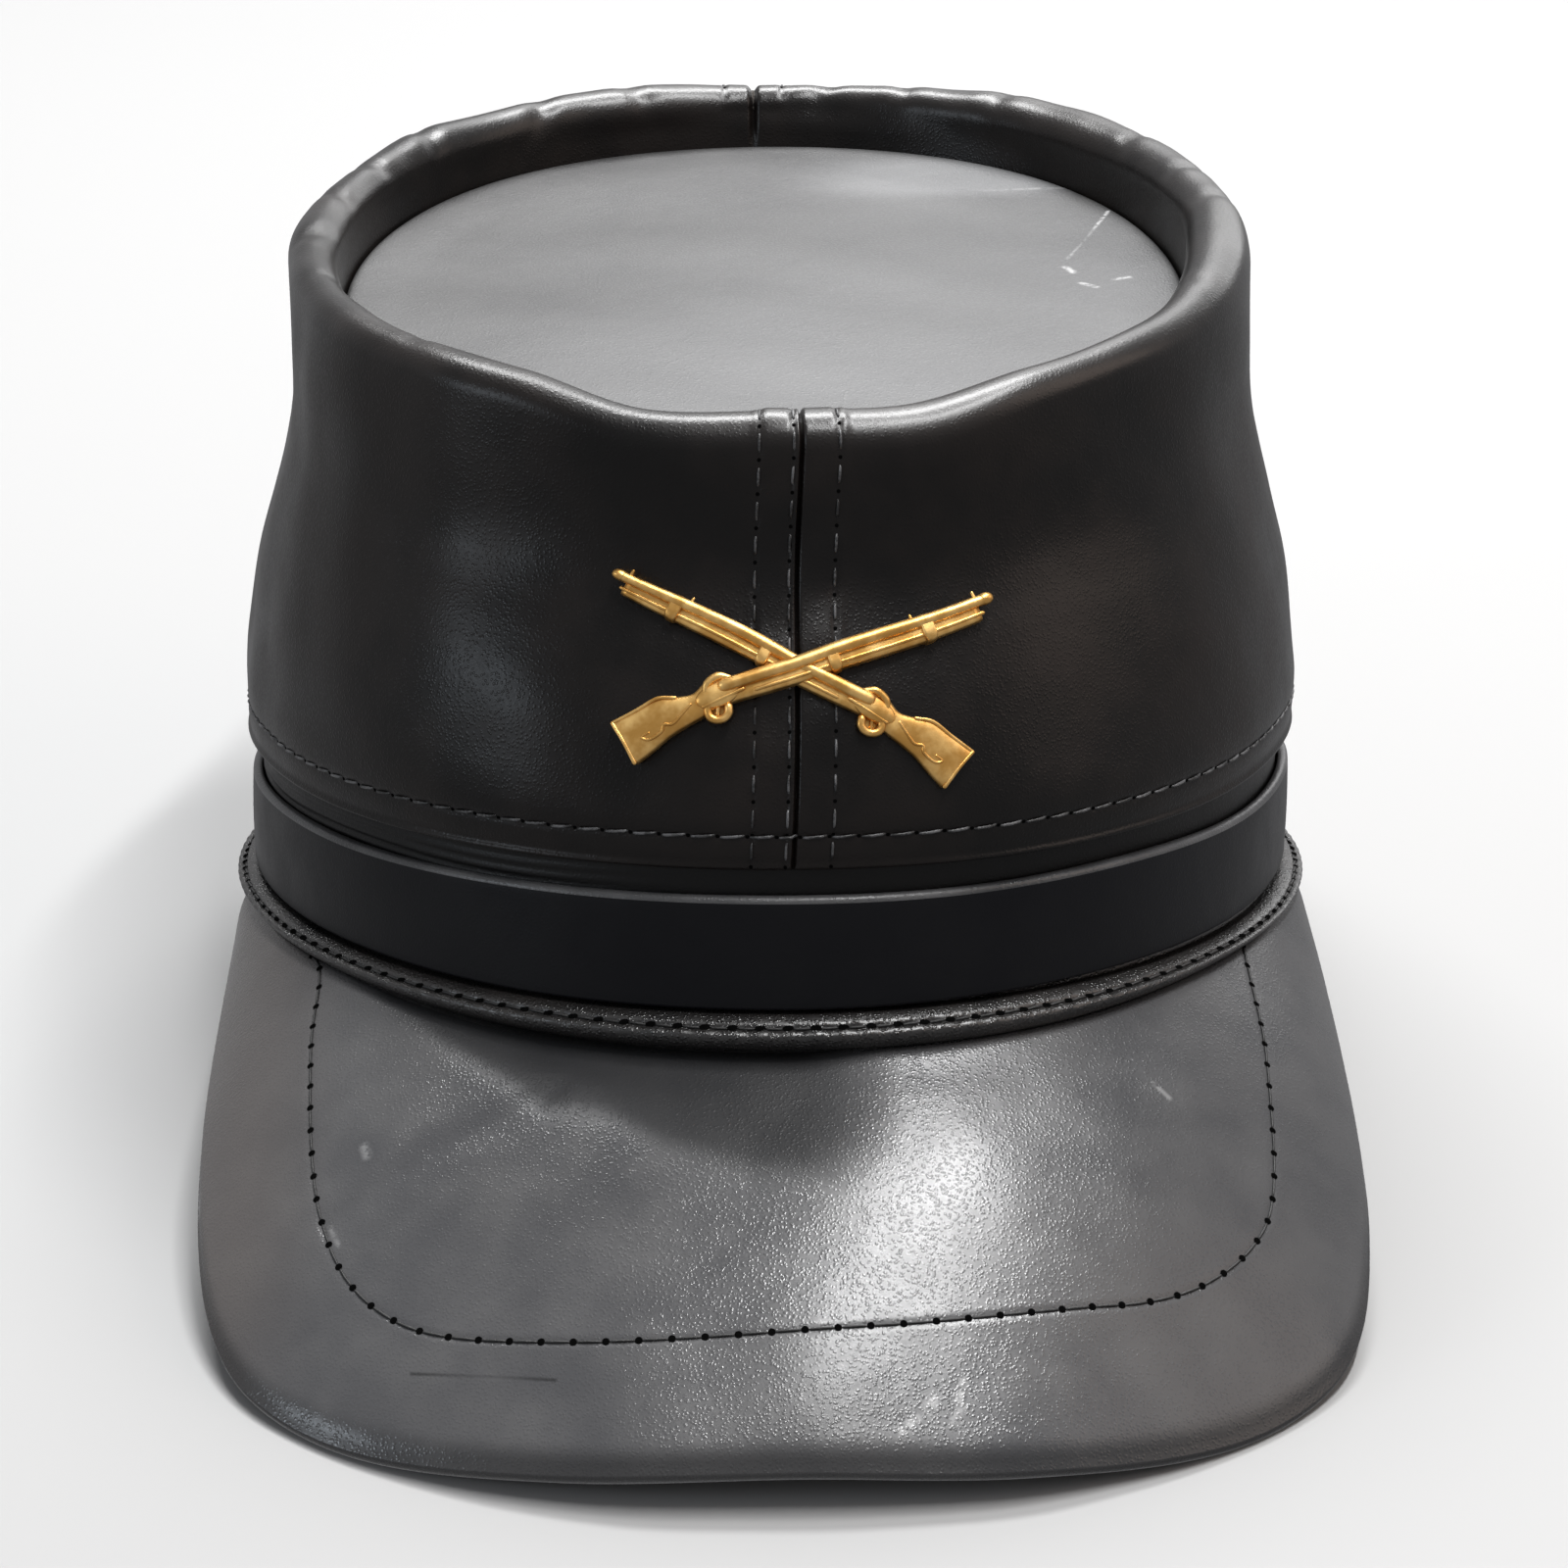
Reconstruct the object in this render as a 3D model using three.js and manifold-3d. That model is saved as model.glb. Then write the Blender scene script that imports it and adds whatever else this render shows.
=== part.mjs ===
// A black leather kepi: a soft crown in two halves with a sunken, forward-sloping top and a rolled rim,
// a base band with a smooth strap round it, a stitched-on peak, and a brass crossed-rifles badge.
// Millimetres, +Z up, the peak towards -Y. The cap rests by itself on the peak's two front corners and on
// the back of its base band, and the origin is under the middle of its bounding box.
import * as THREE from "three";
import { mergeVertices } from "three/addons/utils/BufferGeometryUtils.js";
import Module from "manifold-3d";

// Head opening and base band
const HEAD_WIDTH = 162; // inside the base band, side to side
const HEAD_LENGTH = 193; // inside the base band, front to back: a 56 cm head
const BAND_WALL = 1.8;
const SEAM_GAP = 0.3; // between leathers that are sewn face to face
const WELT_REACH = 5.3; // how far the turned lower edge stands out of the base band
const WELT_HEIGHT = 4.9;

// Smooth strap round the base band
const STRAP_WALL = 1.6;
const STRAP_HEIGHT = 16.5;
const STRAP_BEVEL = 0.5;
const STRAP_ASKEW = 0.8; // the strap sits this much higher on the +X side and lower on the other
const STRAP_EASE = 0.25; // share of the base edge's rise that the strap's lower edge follows

// Crown
const CROWN_WALL = 1.6;
const CROWN_REVEAL = 4.2; // base band that shows between the strap and the crown's lower edge
const CROWN_LAP = 8; // how far the crown laps down over the base band
const CROWN_HEIGHT = 75.7; // lower edge to the middle of the rim, at the sides
const CROWN_BELLY = 1; // how far the crown swells out over its lower edge
const RIM_WIDTH = 153.4;
const RIM_LENGTH = 176;
const RIM_SHIFT = -1; // the rim's middle lies this far in front of the base's
const RIM_LEAN = -0.8; // and this far to the side
const FRONT_SEAM_SHIFT = 1.5; // the front seam is sewn this far off the middle
const RIM_SLOPE = 11.6; // degrees, the rim is low at the front and high at the back
const ROLL_RADIUS = 4.5; // outside of the rolled rim
const SEAM_FOLD = 6; // seam allowance turned back inside at the front and back seams
const FOLD_START = 0.2; // share of the wall's height below which there is no seam allowance

// Sunken top
const TOP_DEPTH = 9.3; // crest of the rim down to the top's upper face, at the middle
const TOP_SLOPE = 12; // degrees, low at the front
const TOP_ROLL = 0.9; // degrees, high on the +X side
const TOP_WALL = 2.2;

// Peak
const PEAK_WALL = 3;
const PEAK_INSET = 1.6; // the peak's sides lie this far inside the welt's widest part
const PEAK_REACH = 49; // front edge beyond the welt, measured level
const PEAK_DROP = 41.8; // front edge below the base band
const PEAK_SPREAD = 78; // degrees from the front to each end of the peak's root
const PEAK_TUCK = 5.2; // width of the root that lies flat under the base band
const PEAK_SWELL = 2.6; // how far the blade bows up between root and edge

// Badge
const RIFLE_LENGTH = 60.5;
const BUTT_DEPTH = 6;
const RIFLE_ANGLE = 22; // degrees between a barrel and the badge's own level
const BADGE_TILT = -5.6; // degrees, the badge sits a little askew
const BADGE_HEIGHT = 26.5; // badge centre above the crown's lower edge
const BADGE_SHIFT = 1.8; // badge centre off the middle
const PLATE_THICKNESS = 1.1;
const BARREL_RADIUS = 0.8;
const OVERPASS = 0.7; // the upper rifle stands this much higher
const POST_SPACING = 13.5; // from the badge's centre along each rifle, towards the butt
const POST_RADIUS = 0.9;
const POST_CLEARANCE = 0.3;
const CLUTCH_RADIUS = 4;
const CLUTCH_THICKNESS = 2.4;

// Facets
const RING_STEPS = 64;
const PANEL_STEPS = 32;
const PEAK_STEPS = 36;

// The crown wall from its lower edge (height 0) to the middle of the rolled rim (height 1).
// inset runs from the base oval (0) to the rim oval (1), belly is the share of CROWN_BELLY.
const WALL_ROWS = [
  { height: 0.0, inset: 0.0, belly: 0.0 },
  { height: 0.06, inset: 0.0, belly: 0.6 },
  { height: 0.13, inset: 0.01, belly: 1.0 },
  { height: 0.25, inset: 0.13, belly: 0.9 },
  { height: 0.38, inset: 0.32, belly: 0.7 },
  { height: 0.51, inset: 0.59, belly: 0.45 },
  { height: 0.6, inset: 0.81, belly: 0.25 },
  { height: 0.67, inset: 0.94, belly: 0.1 },
  { height: 0.75, inset: 1.0, belly: 0.0 },
  { height: 0.87, inset: 1.01, belly: 0.0 },
  { height: 1.0, inset: 1.0, belly: 0.0 },
];

// How far the rim stands over its sloping plane, as a share of CROWN_HEIGHT; around is in degrees
// from the front towards +X. The rim dips at the front seam and stands highest on the +X side.
const RIM_ROWS = [
  { around: 0, rise: 0.01 },
  { around: 15, rise: 0.0 },
  { around: 30, rise: 0.045 },
  { around: 60, rise: 0.057 },
  { around: 90, rise: 0.06 },
  { around: 120, rise: 0.035 },
  { around: 150, rise: 0.018 },
  { around: 180, rise: 0.002 },
  { around: 210, rise: 0.0 },
  { around: 240, rise: 0.0 },
  { around: 270, rise: 0.005 },
  { around: 300, rise: 0.04 },
  { around: 330, rise: 0.045 },
  { around: 345, rise: 0.0 },
];

// How the cap's lower edges differ around it, in degrees from the front towards +X. The base's edge
// dips to the peak at the front and is drawn up at the sides: rise is a share of WELT_HEIGHT, reach of
// WELT_REACH. hem lifts the crown's lower edge, as a share of CROWN_REVEAL.
const BASE_ROWS = [
  { around: 0, rise: 0.0, reach: 1.0, hem: 0.0 },
  { around: 25, rise: 0.1, reach: 1.0, hem: 0.0 },
  { around: 50, rise: 0.5, reach: 0.95, hem: 0.25 },
  { around: 75, rise: 0.62, reach: 0.9, hem: 0.7 },
  { around: 100, rise: 0.52, reach: 0.9, hem: 0.6 },
  { around: 125, rise: 0.45, reach: 0.9, hem: 0.4 },
  { around: 150, rise: 0.45, reach: 0.9, hem: 0.35 },
  { around: 180, rise: 0.45, reach: 0.9, hem: 0.35 },
  { around: 210, rise: 0.45, reach: 0.9, hem: 0.35 },
  { around: 235, rise: 0.45, reach: 0.9, hem: 0.35 },
  { around: 265, rise: 0.48, reach: 0.88, hem: 0.35 },
  { around: 285, rise: 0.5, reach: 0.88, hem: 0.3 },
  { around: 310, rise: 0.36, reach: 0.94, hem: 0.05 },
  { around: 335, rise: 0.1, reach: 1.0, hem: 0.0 },
];

// The welt's section, from its top outside edge to its flat underside, as shares of reach and height.
const WELT_ROWS = [
  { out: 0.0, up: 1.0 },
  { out: 0.45, up: 0.9 },
  { out: 0.8, up: 0.74 },
  { out: 1.0, up: 0.5 },
  { out: 1.0, up: 0.27 },
  { out: 0.88, up: 0.08 },
  { out: 0.76, up: 0.0 },
];

// The peak's outer edge from the front (along 0) to its end (along 1): out is a share of the peak's half
// width, forward a share of the way from the end to the front, drop a share of PEAK_DROP.
const PEAK_ROWS = [
  { along: 0.0, out: 0.0, forward: 1.0, drop: 1.0 },
  { along: 0.15, out: 0.37, forward: 0.98, drop: 1.03 },
  { along: 0.3, out: 0.705, forward: 0.895, drop: 1.05 },
  { along: 0.42, out: 0.9, forward: 0.775, drop: 0.95 },
  { along: 0.57, out: 0.985, forward: 0.59, drop: 0.7 },
  { along: 0.78, out: 1.005, forward: 0.3, drop: 0.37 },
  { along: 1.0, out: 1.0, forward: 0.0, drop: 0.08 },
];

// One rifle's flat body from butt (along -1) to fore-end, as shares of half RIFLE_LENGTH; low and high
// are its lower and upper edge as shares of BUTT_DEPTH, and lean slants a station's upper end.
const RIFLE_ROWS = [
  { along: -0.81, lean: -0.06, low: -0.96, high: 0.19 },
  { along: -0.73, lean: -0.03, low: -0.78, high: 0.33 },
  { along: -0.64, lean: 0.0, low: -0.55, high: 0.46 },
  { along: -0.56, lean: 0.0, low: -0.42, high: 0.36 },
  { along: -0.48, lean: 0.0, low: -0.32, high: 0.31 },
  { along: -0.41, lean: 0.0, low: -0.22, high: 0.5 },
  { along: -0.34, lean: -0.02, low: -0.18, high: 0.57 },
  { along: -0.27, lean: 0.0, low: -0.17, high: 0.32 },
  { along: -0.13, lean: 0.0, low: -0.17, high: 0.25 },
  { along: 0.0, lean: 0.0, low: -0.17, high: 0.25 },
  { along: 0.13, lean: 0.0, low: -0.17, high: 0.25 },
  { along: 0.28, lean: 0.0, low: -0.17, high: 0.25 },
  { along: 0.43, lean: 0.0, low: -0.17, high: 0.25 },
  { along: 0.58, lean: 0.0, low: -0.16, high: 0.25 },
  { along: 0.75, lean: 0.0, low: -0.15, high: 0.25 },
  { along: 0.9, lean: 0.0, low: -0.13, high: 0.22 },
];

const deg = THREE.MathUtils.degToRad;
const mix = (a, b, t) => a + (b - a) * t;

const wasm = await Module();
wasm.setup();

// Smooth interpolation

// A smooth curve through a table's rows: column as a function of key, by cubic Hermite pieces whose slopes
// are taken from the neighbouring rows. period makes the table wrap round.
function smoothColumn(rows, key, column, period) {
  const at = (i) => {
    const n = rows.length;
    if (period) {
      const turns = Math.floor(i / n);
      const row = rows[i - turns * n];
      return [row[key] + turns * period, row[column]];
    }
    const row = rows[Math.min(Math.max(i, 0), n - 1)];
    return [row[key], row[column]];
  };
  return (x) => {
    const t = period ? ((x % period) + period) % period : Math.min(Math.max(x, at(0)[0]), at(rows.length - 1)[0]);
    let i = 0;
    while (i < rows.length - (period ? 1 : 2) && at(i + 1)[0] <= t) i += 1;
    const [[x0, y0], [x1, y1], [x2, y2], [x3, y3]] = [at(i - 1), at(i), at(i + 1), at(i + 2)];
    const slope1 = x2 === x0 ? 0 : (y2 - y0) / (x2 - x0);
    const slope2 = x3 === x1 ? 0 : (y3 - y1) / (x3 - x1);
    const width = x2 - x1;
    const s = (t - x1) / width;
    const [s2, s3] = [s * s, s * s * s];
    return (
      y1 * (2 * s3 - 3 * s2 + 1) +
      slope1 * width * (s3 - 2 * s2 + s) +
      y2 * (3 * s2 - 2 * s3) +
      slope2 * width * (s3 - s2)
    );
  };
}

// Meshes from sections

// Triangles over one flat closed outline of 3D points, by its own plane's coordinates.
function capTriangles(outline) {
  const normal = new THREE.Vector3();
  outline.forEach((p, i) => {
    const q = outline[(i + 1) % outline.length];
    normal.x += (p.y - q.y) * (p.z + q.z);
    normal.y += (p.z - q.z) * (p.x + q.x);
    normal.z += (p.x - q.x) * (p.y + q.y);
  });
  const turn = new THREE.Quaternion().setFromUnitVectors(normal.normalize(), new THREE.Vector3(0, 0, 1));
  const flat = outline.map((p) => {
    const v = p.clone().applyQuaternion(turn);
    return new THREE.Vector2(v.x, v.y);
  });
  return THREE.ShapeUtils.triangulateShape(flat, []);
}

// A closed mesh through outlines that all have as many points. An open loft gets an end cap at each end.
function loft(outlines, wraps) {
  const count = outlines[0].length;
  const positions = outlines.flat().flatMap((p) => [p.x, p.y, p.z]);
  const faces = [];
  const spans = wraps ? outlines.length : outlines.length - 1;
  for (let i = 0; i < spans; i += 1) {
    const [a, b] = [i * count, ((i + 1) % outlines.length) * count];
    for (let j = 0; j < count; j += 1) {
      const k = (j + 1) % count;
      faces.push([a + j, b + j, b + k], [a + j, b + k, a + k]);
    }
  }
  if (!wraps) {
    const last = (outlines.length - 1) * count;
    capTriangles(outlines[0]).forEach(([p, q, r]) => faces.push([p, q, r]));
    capTriangles(outlines.at(-1)).forEach(([p, q, r]) => faces.push([last + r, last + q, last + p]));
  }
  const geometry = new THREE.BufferGeometry();
  geometry.setAttribute("position", new THREE.Float32BufferAttribute(positions, 3));
  geometry.setIndex(faces.flat());
  return outward(geometry);
}

// The same geometry with its faces turned outward, judged by its signed volume.
function outward(geometry) {
  const p = geometry.attributes.position;
  const index = geometry.index.array;
  const [a, b, c] = [new THREE.Vector3(), new THREE.Vector3(), new THREE.Vector3()];
  let volume = 0;
  for (let i = 0; i < index.length; i += 3) {
    a.fromBufferAttribute(p, index[i]);
    b.fromBufferAttribute(p, index[i + 1]);
    c.fromBufferAttribute(p, index[i + 2]);
    volume += a.dot(b.cross(c));
  }
  if (volume < 0) {
    for (let i = 0; i < index.length; i += 3) [index[i + 1], index[i + 2]] = [index[i + 2], index[i + 1]];
  }
  return geometry;
}

function toSolid(geometry) {
  const bare = geometry.clone();
  bare.deleteAttribute("normal");
  bare.deleteAttribute("uv");
  const merged = mergeVertices(bare, 1e-4);
  return new wasm.Manifold(
    new wasm.Mesh({
      numProp: 3,
      vertProperties: merged.attributes.position.array,
      triVerts: new Uint32Array(merged.index.array),
    }),
  );
}

function toGeometry(solid) {
  const mesh = solid.getMesh();
  const geometry = new THREE.BufferGeometry();
  geometry.setAttribute("position", new THREE.BufferAttribute(mesh.vertProperties.slice(), 3));
  geometry.setIndex(new THREE.BufferAttribute(mesh.triVerts.slice(), 1));
  return geometry;
}

// Ovals

// A point of an oval: around is in radians from the front towards +X. The oval's middle is at [x, y],
// squareness pushes its quarters out a little, out is an offset along its outward normal.
function oval(halfWidth, halfLength, middle, squareness, around, out, z) {
  const at = (t) => {
    const push = 1 + squareness * Math.sin(2 * t) ** 2;
    return [middle[0] + halfWidth * Math.sin(t) * push, middle[1] - halfLength * Math.cos(t) * push];
  };
  const step = 1e-4;
  const [x, y] = at(around);
  const [x0, y0] = at(around - step);
  const [x1, y1] = at(around + step);
  const length = Math.hypot(x1 - x0, y1 - y0);
  return new THREE.Vector3(x + (out * (y1 - y0)) / length, y - (out * (x1 - x0)) / length, z);
}

// Heights that follow from the driving dimensions, in the cap's own frame: z is 0 under the base band.
const strapBottom = WELT_HEIGHT + SEAM_GAP;
const strapTop = strapBottom + STRAP_HEIGHT;
const crownBottom = strapTop + CROWN_REVEAL;
const bandTop = crownBottom + CROWN_LAP;
const rimMiddle = crownBottom + CROWN_HEIGHT;
const crownOffset = BAND_WALL + SEAM_GAP + CROWN_WALL; // crown's outer face from the head oval
const weltOffset = BAND_WALL + WELT_REACH; // welt's outer edge from the head oval, at the front
const rimSquareness = 0.025;

const headOval = (around, out, z) => oval(HEAD_WIDTH / 2, HEAD_LENGTH / 2, [0, 0], 0, around, out, z);

const rimRise = smoothColumn(RIM_ROWS, "around", "rise", 360);
const baseShare = {
  rise: smoothColumn(BASE_ROWS, "around", "rise", 360),
  reach: smoothColumn(BASE_ROWS, "around", "reach", 360),
  hem: smoothColumn(BASE_ROWS, "around", "hem", 360),
};
const baseRise = (around) => WELT_HEIGHT * baseShare.rise(THREE.MathUtils.radToDeg(around));
const weltReach = (around) => WELT_REACH * baseShare.reach(THREE.MathUtils.radToDeg(around));
const hemRise = (around) => CROWN_REVEAL * baseShare.hem(THREE.MathUtils.radToDeg(around));

// Middle of the rolled rim, at the outside of the roll.
function rimHeight(around) {
  const y = RIM_SHIFT - (RIM_LENGTH / 2) * Math.cos(around);
  const rise = rimRise(THREE.MathUtils.radToDeg(around)) * CROWN_HEIGHT;
  return rimMiddle + y * Math.tan(deg(RIM_SLOPE)) + rise;
}

function topHeight(point) {
  const crest = rimMiddle + ROLL_RADIUS;
  return crest - TOP_DEPTH + point.y * Math.tan(deg(TOP_SLOPE)) + point.x * Math.tan(deg(TOP_ROLL));
}

const wallInset = smoothColumn(WALL_ROWS, "height", "inset");
const wallBelly = smoothColumn(WALL_ROWS, "height", "belly");

// The crown's outer face at a share of its height, moved out along the oval's normal.
function wallPoint(around, height, out = 0) {
  const inset = wallInset(height);
  const halfWidth = mix(HEAD_WIDTH / 2 + crownOffset, RIM_WIDTH / 2, inset);
  const halfLength = mix(HEAD_LENGTH / 2 + crownOffset, RIM_LENGTH / 2, inset);
  const z = mix(crownBottom + hemRise(around), rimHeight(around), height);
  const swell = CROWN_BELLY * wallBelly(height);
  const middle = [RIM_LEAN * inset, RIM_SHIFT * inset];
  return oval(halfWidth, halfLength, middle, rimSquareness * inset, around, out + swell, z);
}

// Crown panels

// One upright section of a crown half: up the outer face, over the roll, down into the recess to the
// underside of the top, and back along the hidden faces. layers is the wall's thickness in leathers.
function panelSection(around, layers) {
  const middle = rimHeight(around);
  const rollPoint = (turn, radius) =>
    wallPoint(around, 1, radius * Math.cos(turn) - ROLL_RADIUS).setZ(middle + radius * Math.sin(turn));
  const recess = wallPoint(around, 1, -2 * ROLL_RADIUS);
  const recessBottom = topHeight(recess) - TOP_WALL;
  const innerRadius = ROLL_RADIUS - CROWN_WALL;
  return [
    ...WALL_ROWS.map((row) => wallPoint(around, row.height)),
    ...[30, 60, 90, 120, 150, 180].map((turn) => rollPoint(deg(turn), ROLL_RADIUS)),
    recess.clone().setZ(recessBottom),
    wallPoint(around, 1, CROWN_WALL - 2 * ROLL_RADIUS).setZ(recessBottom),
    ...[180, 135, 90, 45].map((turn) => rollPoint(deg(turn), innerRadius)),
    ...WALL_ROWS.toReversed().map((row) => {
      const folded = row.height > FOLD_START && row.height < 1;
      return wallPoint(around, row.height, -CROWN_WALL * (folded ? layers : 1));
    }),
  ];
}

// One half of the crown, on the +X side for side 1: a wall of one leather, doubled by the seam
// allowance next to the front and back seams.
function crownPanel(side) {
  const frontSeam = (side * FRONT_SEAM_SHIFT) / (RIM_WIDTH / 2);
  const seamTurn = SEAM_GAP / HEAD_WIDTH; // half the gap between the halves, as an angle
  const foldTurn = (2 * SEAM_FOLD) / HEAD_WIDTH;
  const plainTurn = 1.2 * foldTurn;
  const [start, end] = [frontSeam + plainTurn, Math.PI - plainTurn];
  const stations = [
    { around: frontSeam + seamTurn, layers: 2 },
    { around: frontSeam + foldTurn, layers: 2 },
  ];
  for (let i = 0; i <= PANEL_STEPS; i += 1) stations.push({ around: mix(start, end, i / PANEL_STEPS), layers: 1 });
  stations.push({ around: Math.PI - foldTurn, layers: 2 }, { around: Math.PI - seamTurn, layers: 2 });
  return loft(
    stations.map((s) => panelSection(side * s.around, s.layers)),
    false,
  );
}

// Sunken top

// A flat oval of leather that fills the recess, sewn to the lower end of the crown's turned-in wall.
function sunkenTop() {
  const edge = [];
  for (let i = 0; i < RING_STEPS; i += 1) {
    edge.push(wallPoint((2 * Math.PI * i) / RING_STEPS, 1, -2 * ROLL_RADIUS - SEAM_GAP));
  }
  const upper = edge.map((p) => p.clone().setZ(topHeight(p)));
  const lower = edge.map((p) => p.clone().setZ(topHeight(p) - TOP_WALL));
  return loft([lower, upper], false);
}

// Base band, strap

const ringTurns = Array.from({ length: RING_STEPS }, (_, i) => (2 * Math.PI * i) / RING_STEPS);

// The welt is squashed between the base's edge, where that is drawn up, and the strap.
function baseBand() {
  const sections = ringTurns.map((turn) => {
    const bottom = baseRise(turn);
    const weltTop = Math.min(WELT_HEIGHT, strapLow(turn) - SEAM_GAP);
    const welt = WELT_ROWS.map((row) =>
      headOval(turn, BAND_WALL + row.out * weltReach(turn), mix(bottom, weltTop, row.up)),
    );
    return [
      headOval(turn, 0, bottom),
      headOval(turn, 0, bandTop),
      headOval(turn, BAND_WALL, bandTop),
      ...welt,
    ];
  });
  return loft(sections, true);
}

// The strap's lower edge gives way a little where the base's edge is drawn up.
function strapLow(around) {
  return strapBottom + Math.max(0, STRAP_ASKEW * Math.sin(around)) + STRAP_EASE * baseRise(around);
}

function hatStrap() {
  const inside = BAND_WALL + SEAM_GAP;
  const outside = inside + STRAP_WALL;
  const sections = ringTurns.map((turn) => {
    const low = strapLow(turn);
    const high = strapTop + STRAP_ASKEW * Math.sin(turn);
    return [
      headOval(turn, inside, low),
      headOval(turn, inside, high),
      headOval(turn, outside - STRAP_BEVEL, high),
      headOval(turn, outside, high - STRAP_BEVEL),
      headOval(turn, outside, low + STRAP_BEVEL),
      headOval(turn, outside - STRAP_BEVEL, low),
    ];
  });
  return loft(sections, true);
}

// Peak

const peakOut = smoothColumn(PEAK_ROWS, "along", "out");
const peakForward = smoothColumn(PEAK_ROWS, "along", "forward");
const peakDrop = smoothColumn(PEAK_ROWS, "along", "drop");
const peakHalfWidth = HEAD_WIDTH / 2 + weltOffset - PEAK_INSET;

// The peak's upper face. span runs from -1 at one end to 1 at the other, blade from 0 at the crease
// under the welt to 1 at the outer edge; below 0 it is the flat root tucked under the base band.
function peakPoint(span, blade) {
  const around = span * deg(PEAK_SPREAD);
  const creaseOut = BAND_WALL + weltReach(around) * WELT_ROWS.at(-1).out;
  const rootHeight = baseRise(around) - SEAM_GAP;
  const crease = headOval(around, creaseOut, rootHeight);
  if (blade <= 0) return headOval(around, creaseOut + blade * PEAK_TUCK, rootHeight);
  const end = headOval(deg(PEAK_SPREAD), weltOffset, 0);
  const front = -(HEAD_LENGTH / 2 + weltOffset + PEAK_REACH);
  const along = Math.abs(span);
  const edge = new THREE.Vector3(
    Math.sign(span) * peakOut(along) * peakHalfWidth,
    mix(end.y, front, peakForward(along)),
    -peakDrop(along) * PEAK_DROP,
  );
  const length = edge.distanceTo(crease);
  const fullLength = Math.hypot(PEAK_REACH, PEAK_DROP);
  const rise = PEAK_SWELL * Math.min(1, length / fullLength) * 4 * blade * (1 - blade);
  const outward = new THREE.Vector3(edge.x - crease.x, edge.y - crease.y, 0).normalize();
  const slope = Math.atan2(crease.z - edge.z, Math.hypot(edge.x - crease.x, edge.y - crease.y));
  const bow = outward.multiplyScalar(Math.sin(slope)).setZ(Math.cos(slope)).multiplyScalar(rise);
  return crease.lerp(edge, blade).add(bow);
}

// The upper face's upward normal, by small steps along and across it.
function peakNormal(span, blade) {
  const step = 0.01;
  const at = Math.max(blade, step);
  const across = peakPoint(Math.min(span + step, 1), at).sub(peakPoint(Math.max(span - step, -1), at));
  const down = peakPoint(span, Math.min(at + step, 1)).sub(peakPoint(span, at - step));
  const normal = down.cross(across).normalize();
  return normal.z < 0 ? normal.negate() : normal;
}

function peak() {
  const blades = [-1, 0, 0.12, 0.3, 0.5, 0.7, 0.88, 1];
  const sections = [];
  for (let i = 0; i <= PEAK_STEPS; i += 1) {
    const span = mix(-1, 1, i / PEAK_STEPS);
    const upper = blades.map((blade) => peakPoint(span, blade));
    const lower = blades.map((blade, j) => {
      const down = blade <= 0 ? new THREE.Vector3(0, 0, 1) : peakNormal(span, blade);
      return upper[j].clone().addScaledVector(down, -PEAK_WALL);
    });
    const rim = upper.at(-1).clone().lerp(lower.at(-1), 0.5);
    const outward = rim.clone().sub(upper.at(-2).clone().lerp(lower.at(-2), 0.5)).normalize();
    rim.addScaledVector(outward, PEAK_WALL / 4);
    sections.push([...upper, rim, ...lower.reverse()]);
  }
  return loft(sections, false);
}

// Badge

// A point on the crown near the badge: across and up are millimetres on the leather from the badge's
// centre, off is the height over the leather.
function badgePoint(across, up, off) {
  const frontHeight = rimHeight(0) - crownBottom;
  const around = (BADGE_SHIFT + across) / frontRadius();
  const height = (BADGE_HEIGHT + up * frontRise()) / frontHeight;
  const step = 0.01;
  const here = wallPoint(around, height);
  const side = wallPoint(around + step, height).sub(wallPoint(around - step, height));
  const rise = wallPoint(around, height + step).sub(wallPoint(around, height - step));
  const normal = side.cross(rise).normalize();
  return here.addScaledVector(normal, off);
}

// Millimetres on the leather for one radian of turn, at the badge.
function frontRadius() {
  const step = 0.01;
  const height = BADGE_HEIGHT / (rimHeight(0) - crownBottom);
  return wallPoint(step, height).distanceTo(wallPoint(-step, height)) / (2 * step);
}

// Height gained for one millimetre up the sloping leather, at the badge.
function frontRise() {
  const step = 0.01;
  const height = BADGE_HEIGHT / (rimHeight(0) - crownBottom);
  const [low, high] = [wallPoint(0, height - step), wallPoint(0, height + step)];
  return (high.z - low.z) / high.distanceTo(low);
}

// Turns a rifle's own lengths into lengths across and up the crown. hand is 1 for the rifle whose
// muzzle points to +X and -1 for the other.
function onBadge(along, lift, off, hand) {
  const angle = deg(RIFLE_ANGLE);
  const x = hand * (along * Math.cos(angle) - lift * Math.sin(angle));
  const y = along * Math.sin(angle) + lift * Math.cos(angle);
  const tilt = deg(BADGE_TILT);
  return badgePoint(x * Math.cos(tilt) - y * Math.sin(tilt), x * Math.sin(tilt) + y * Math.cos(tilt), off);
}

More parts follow.
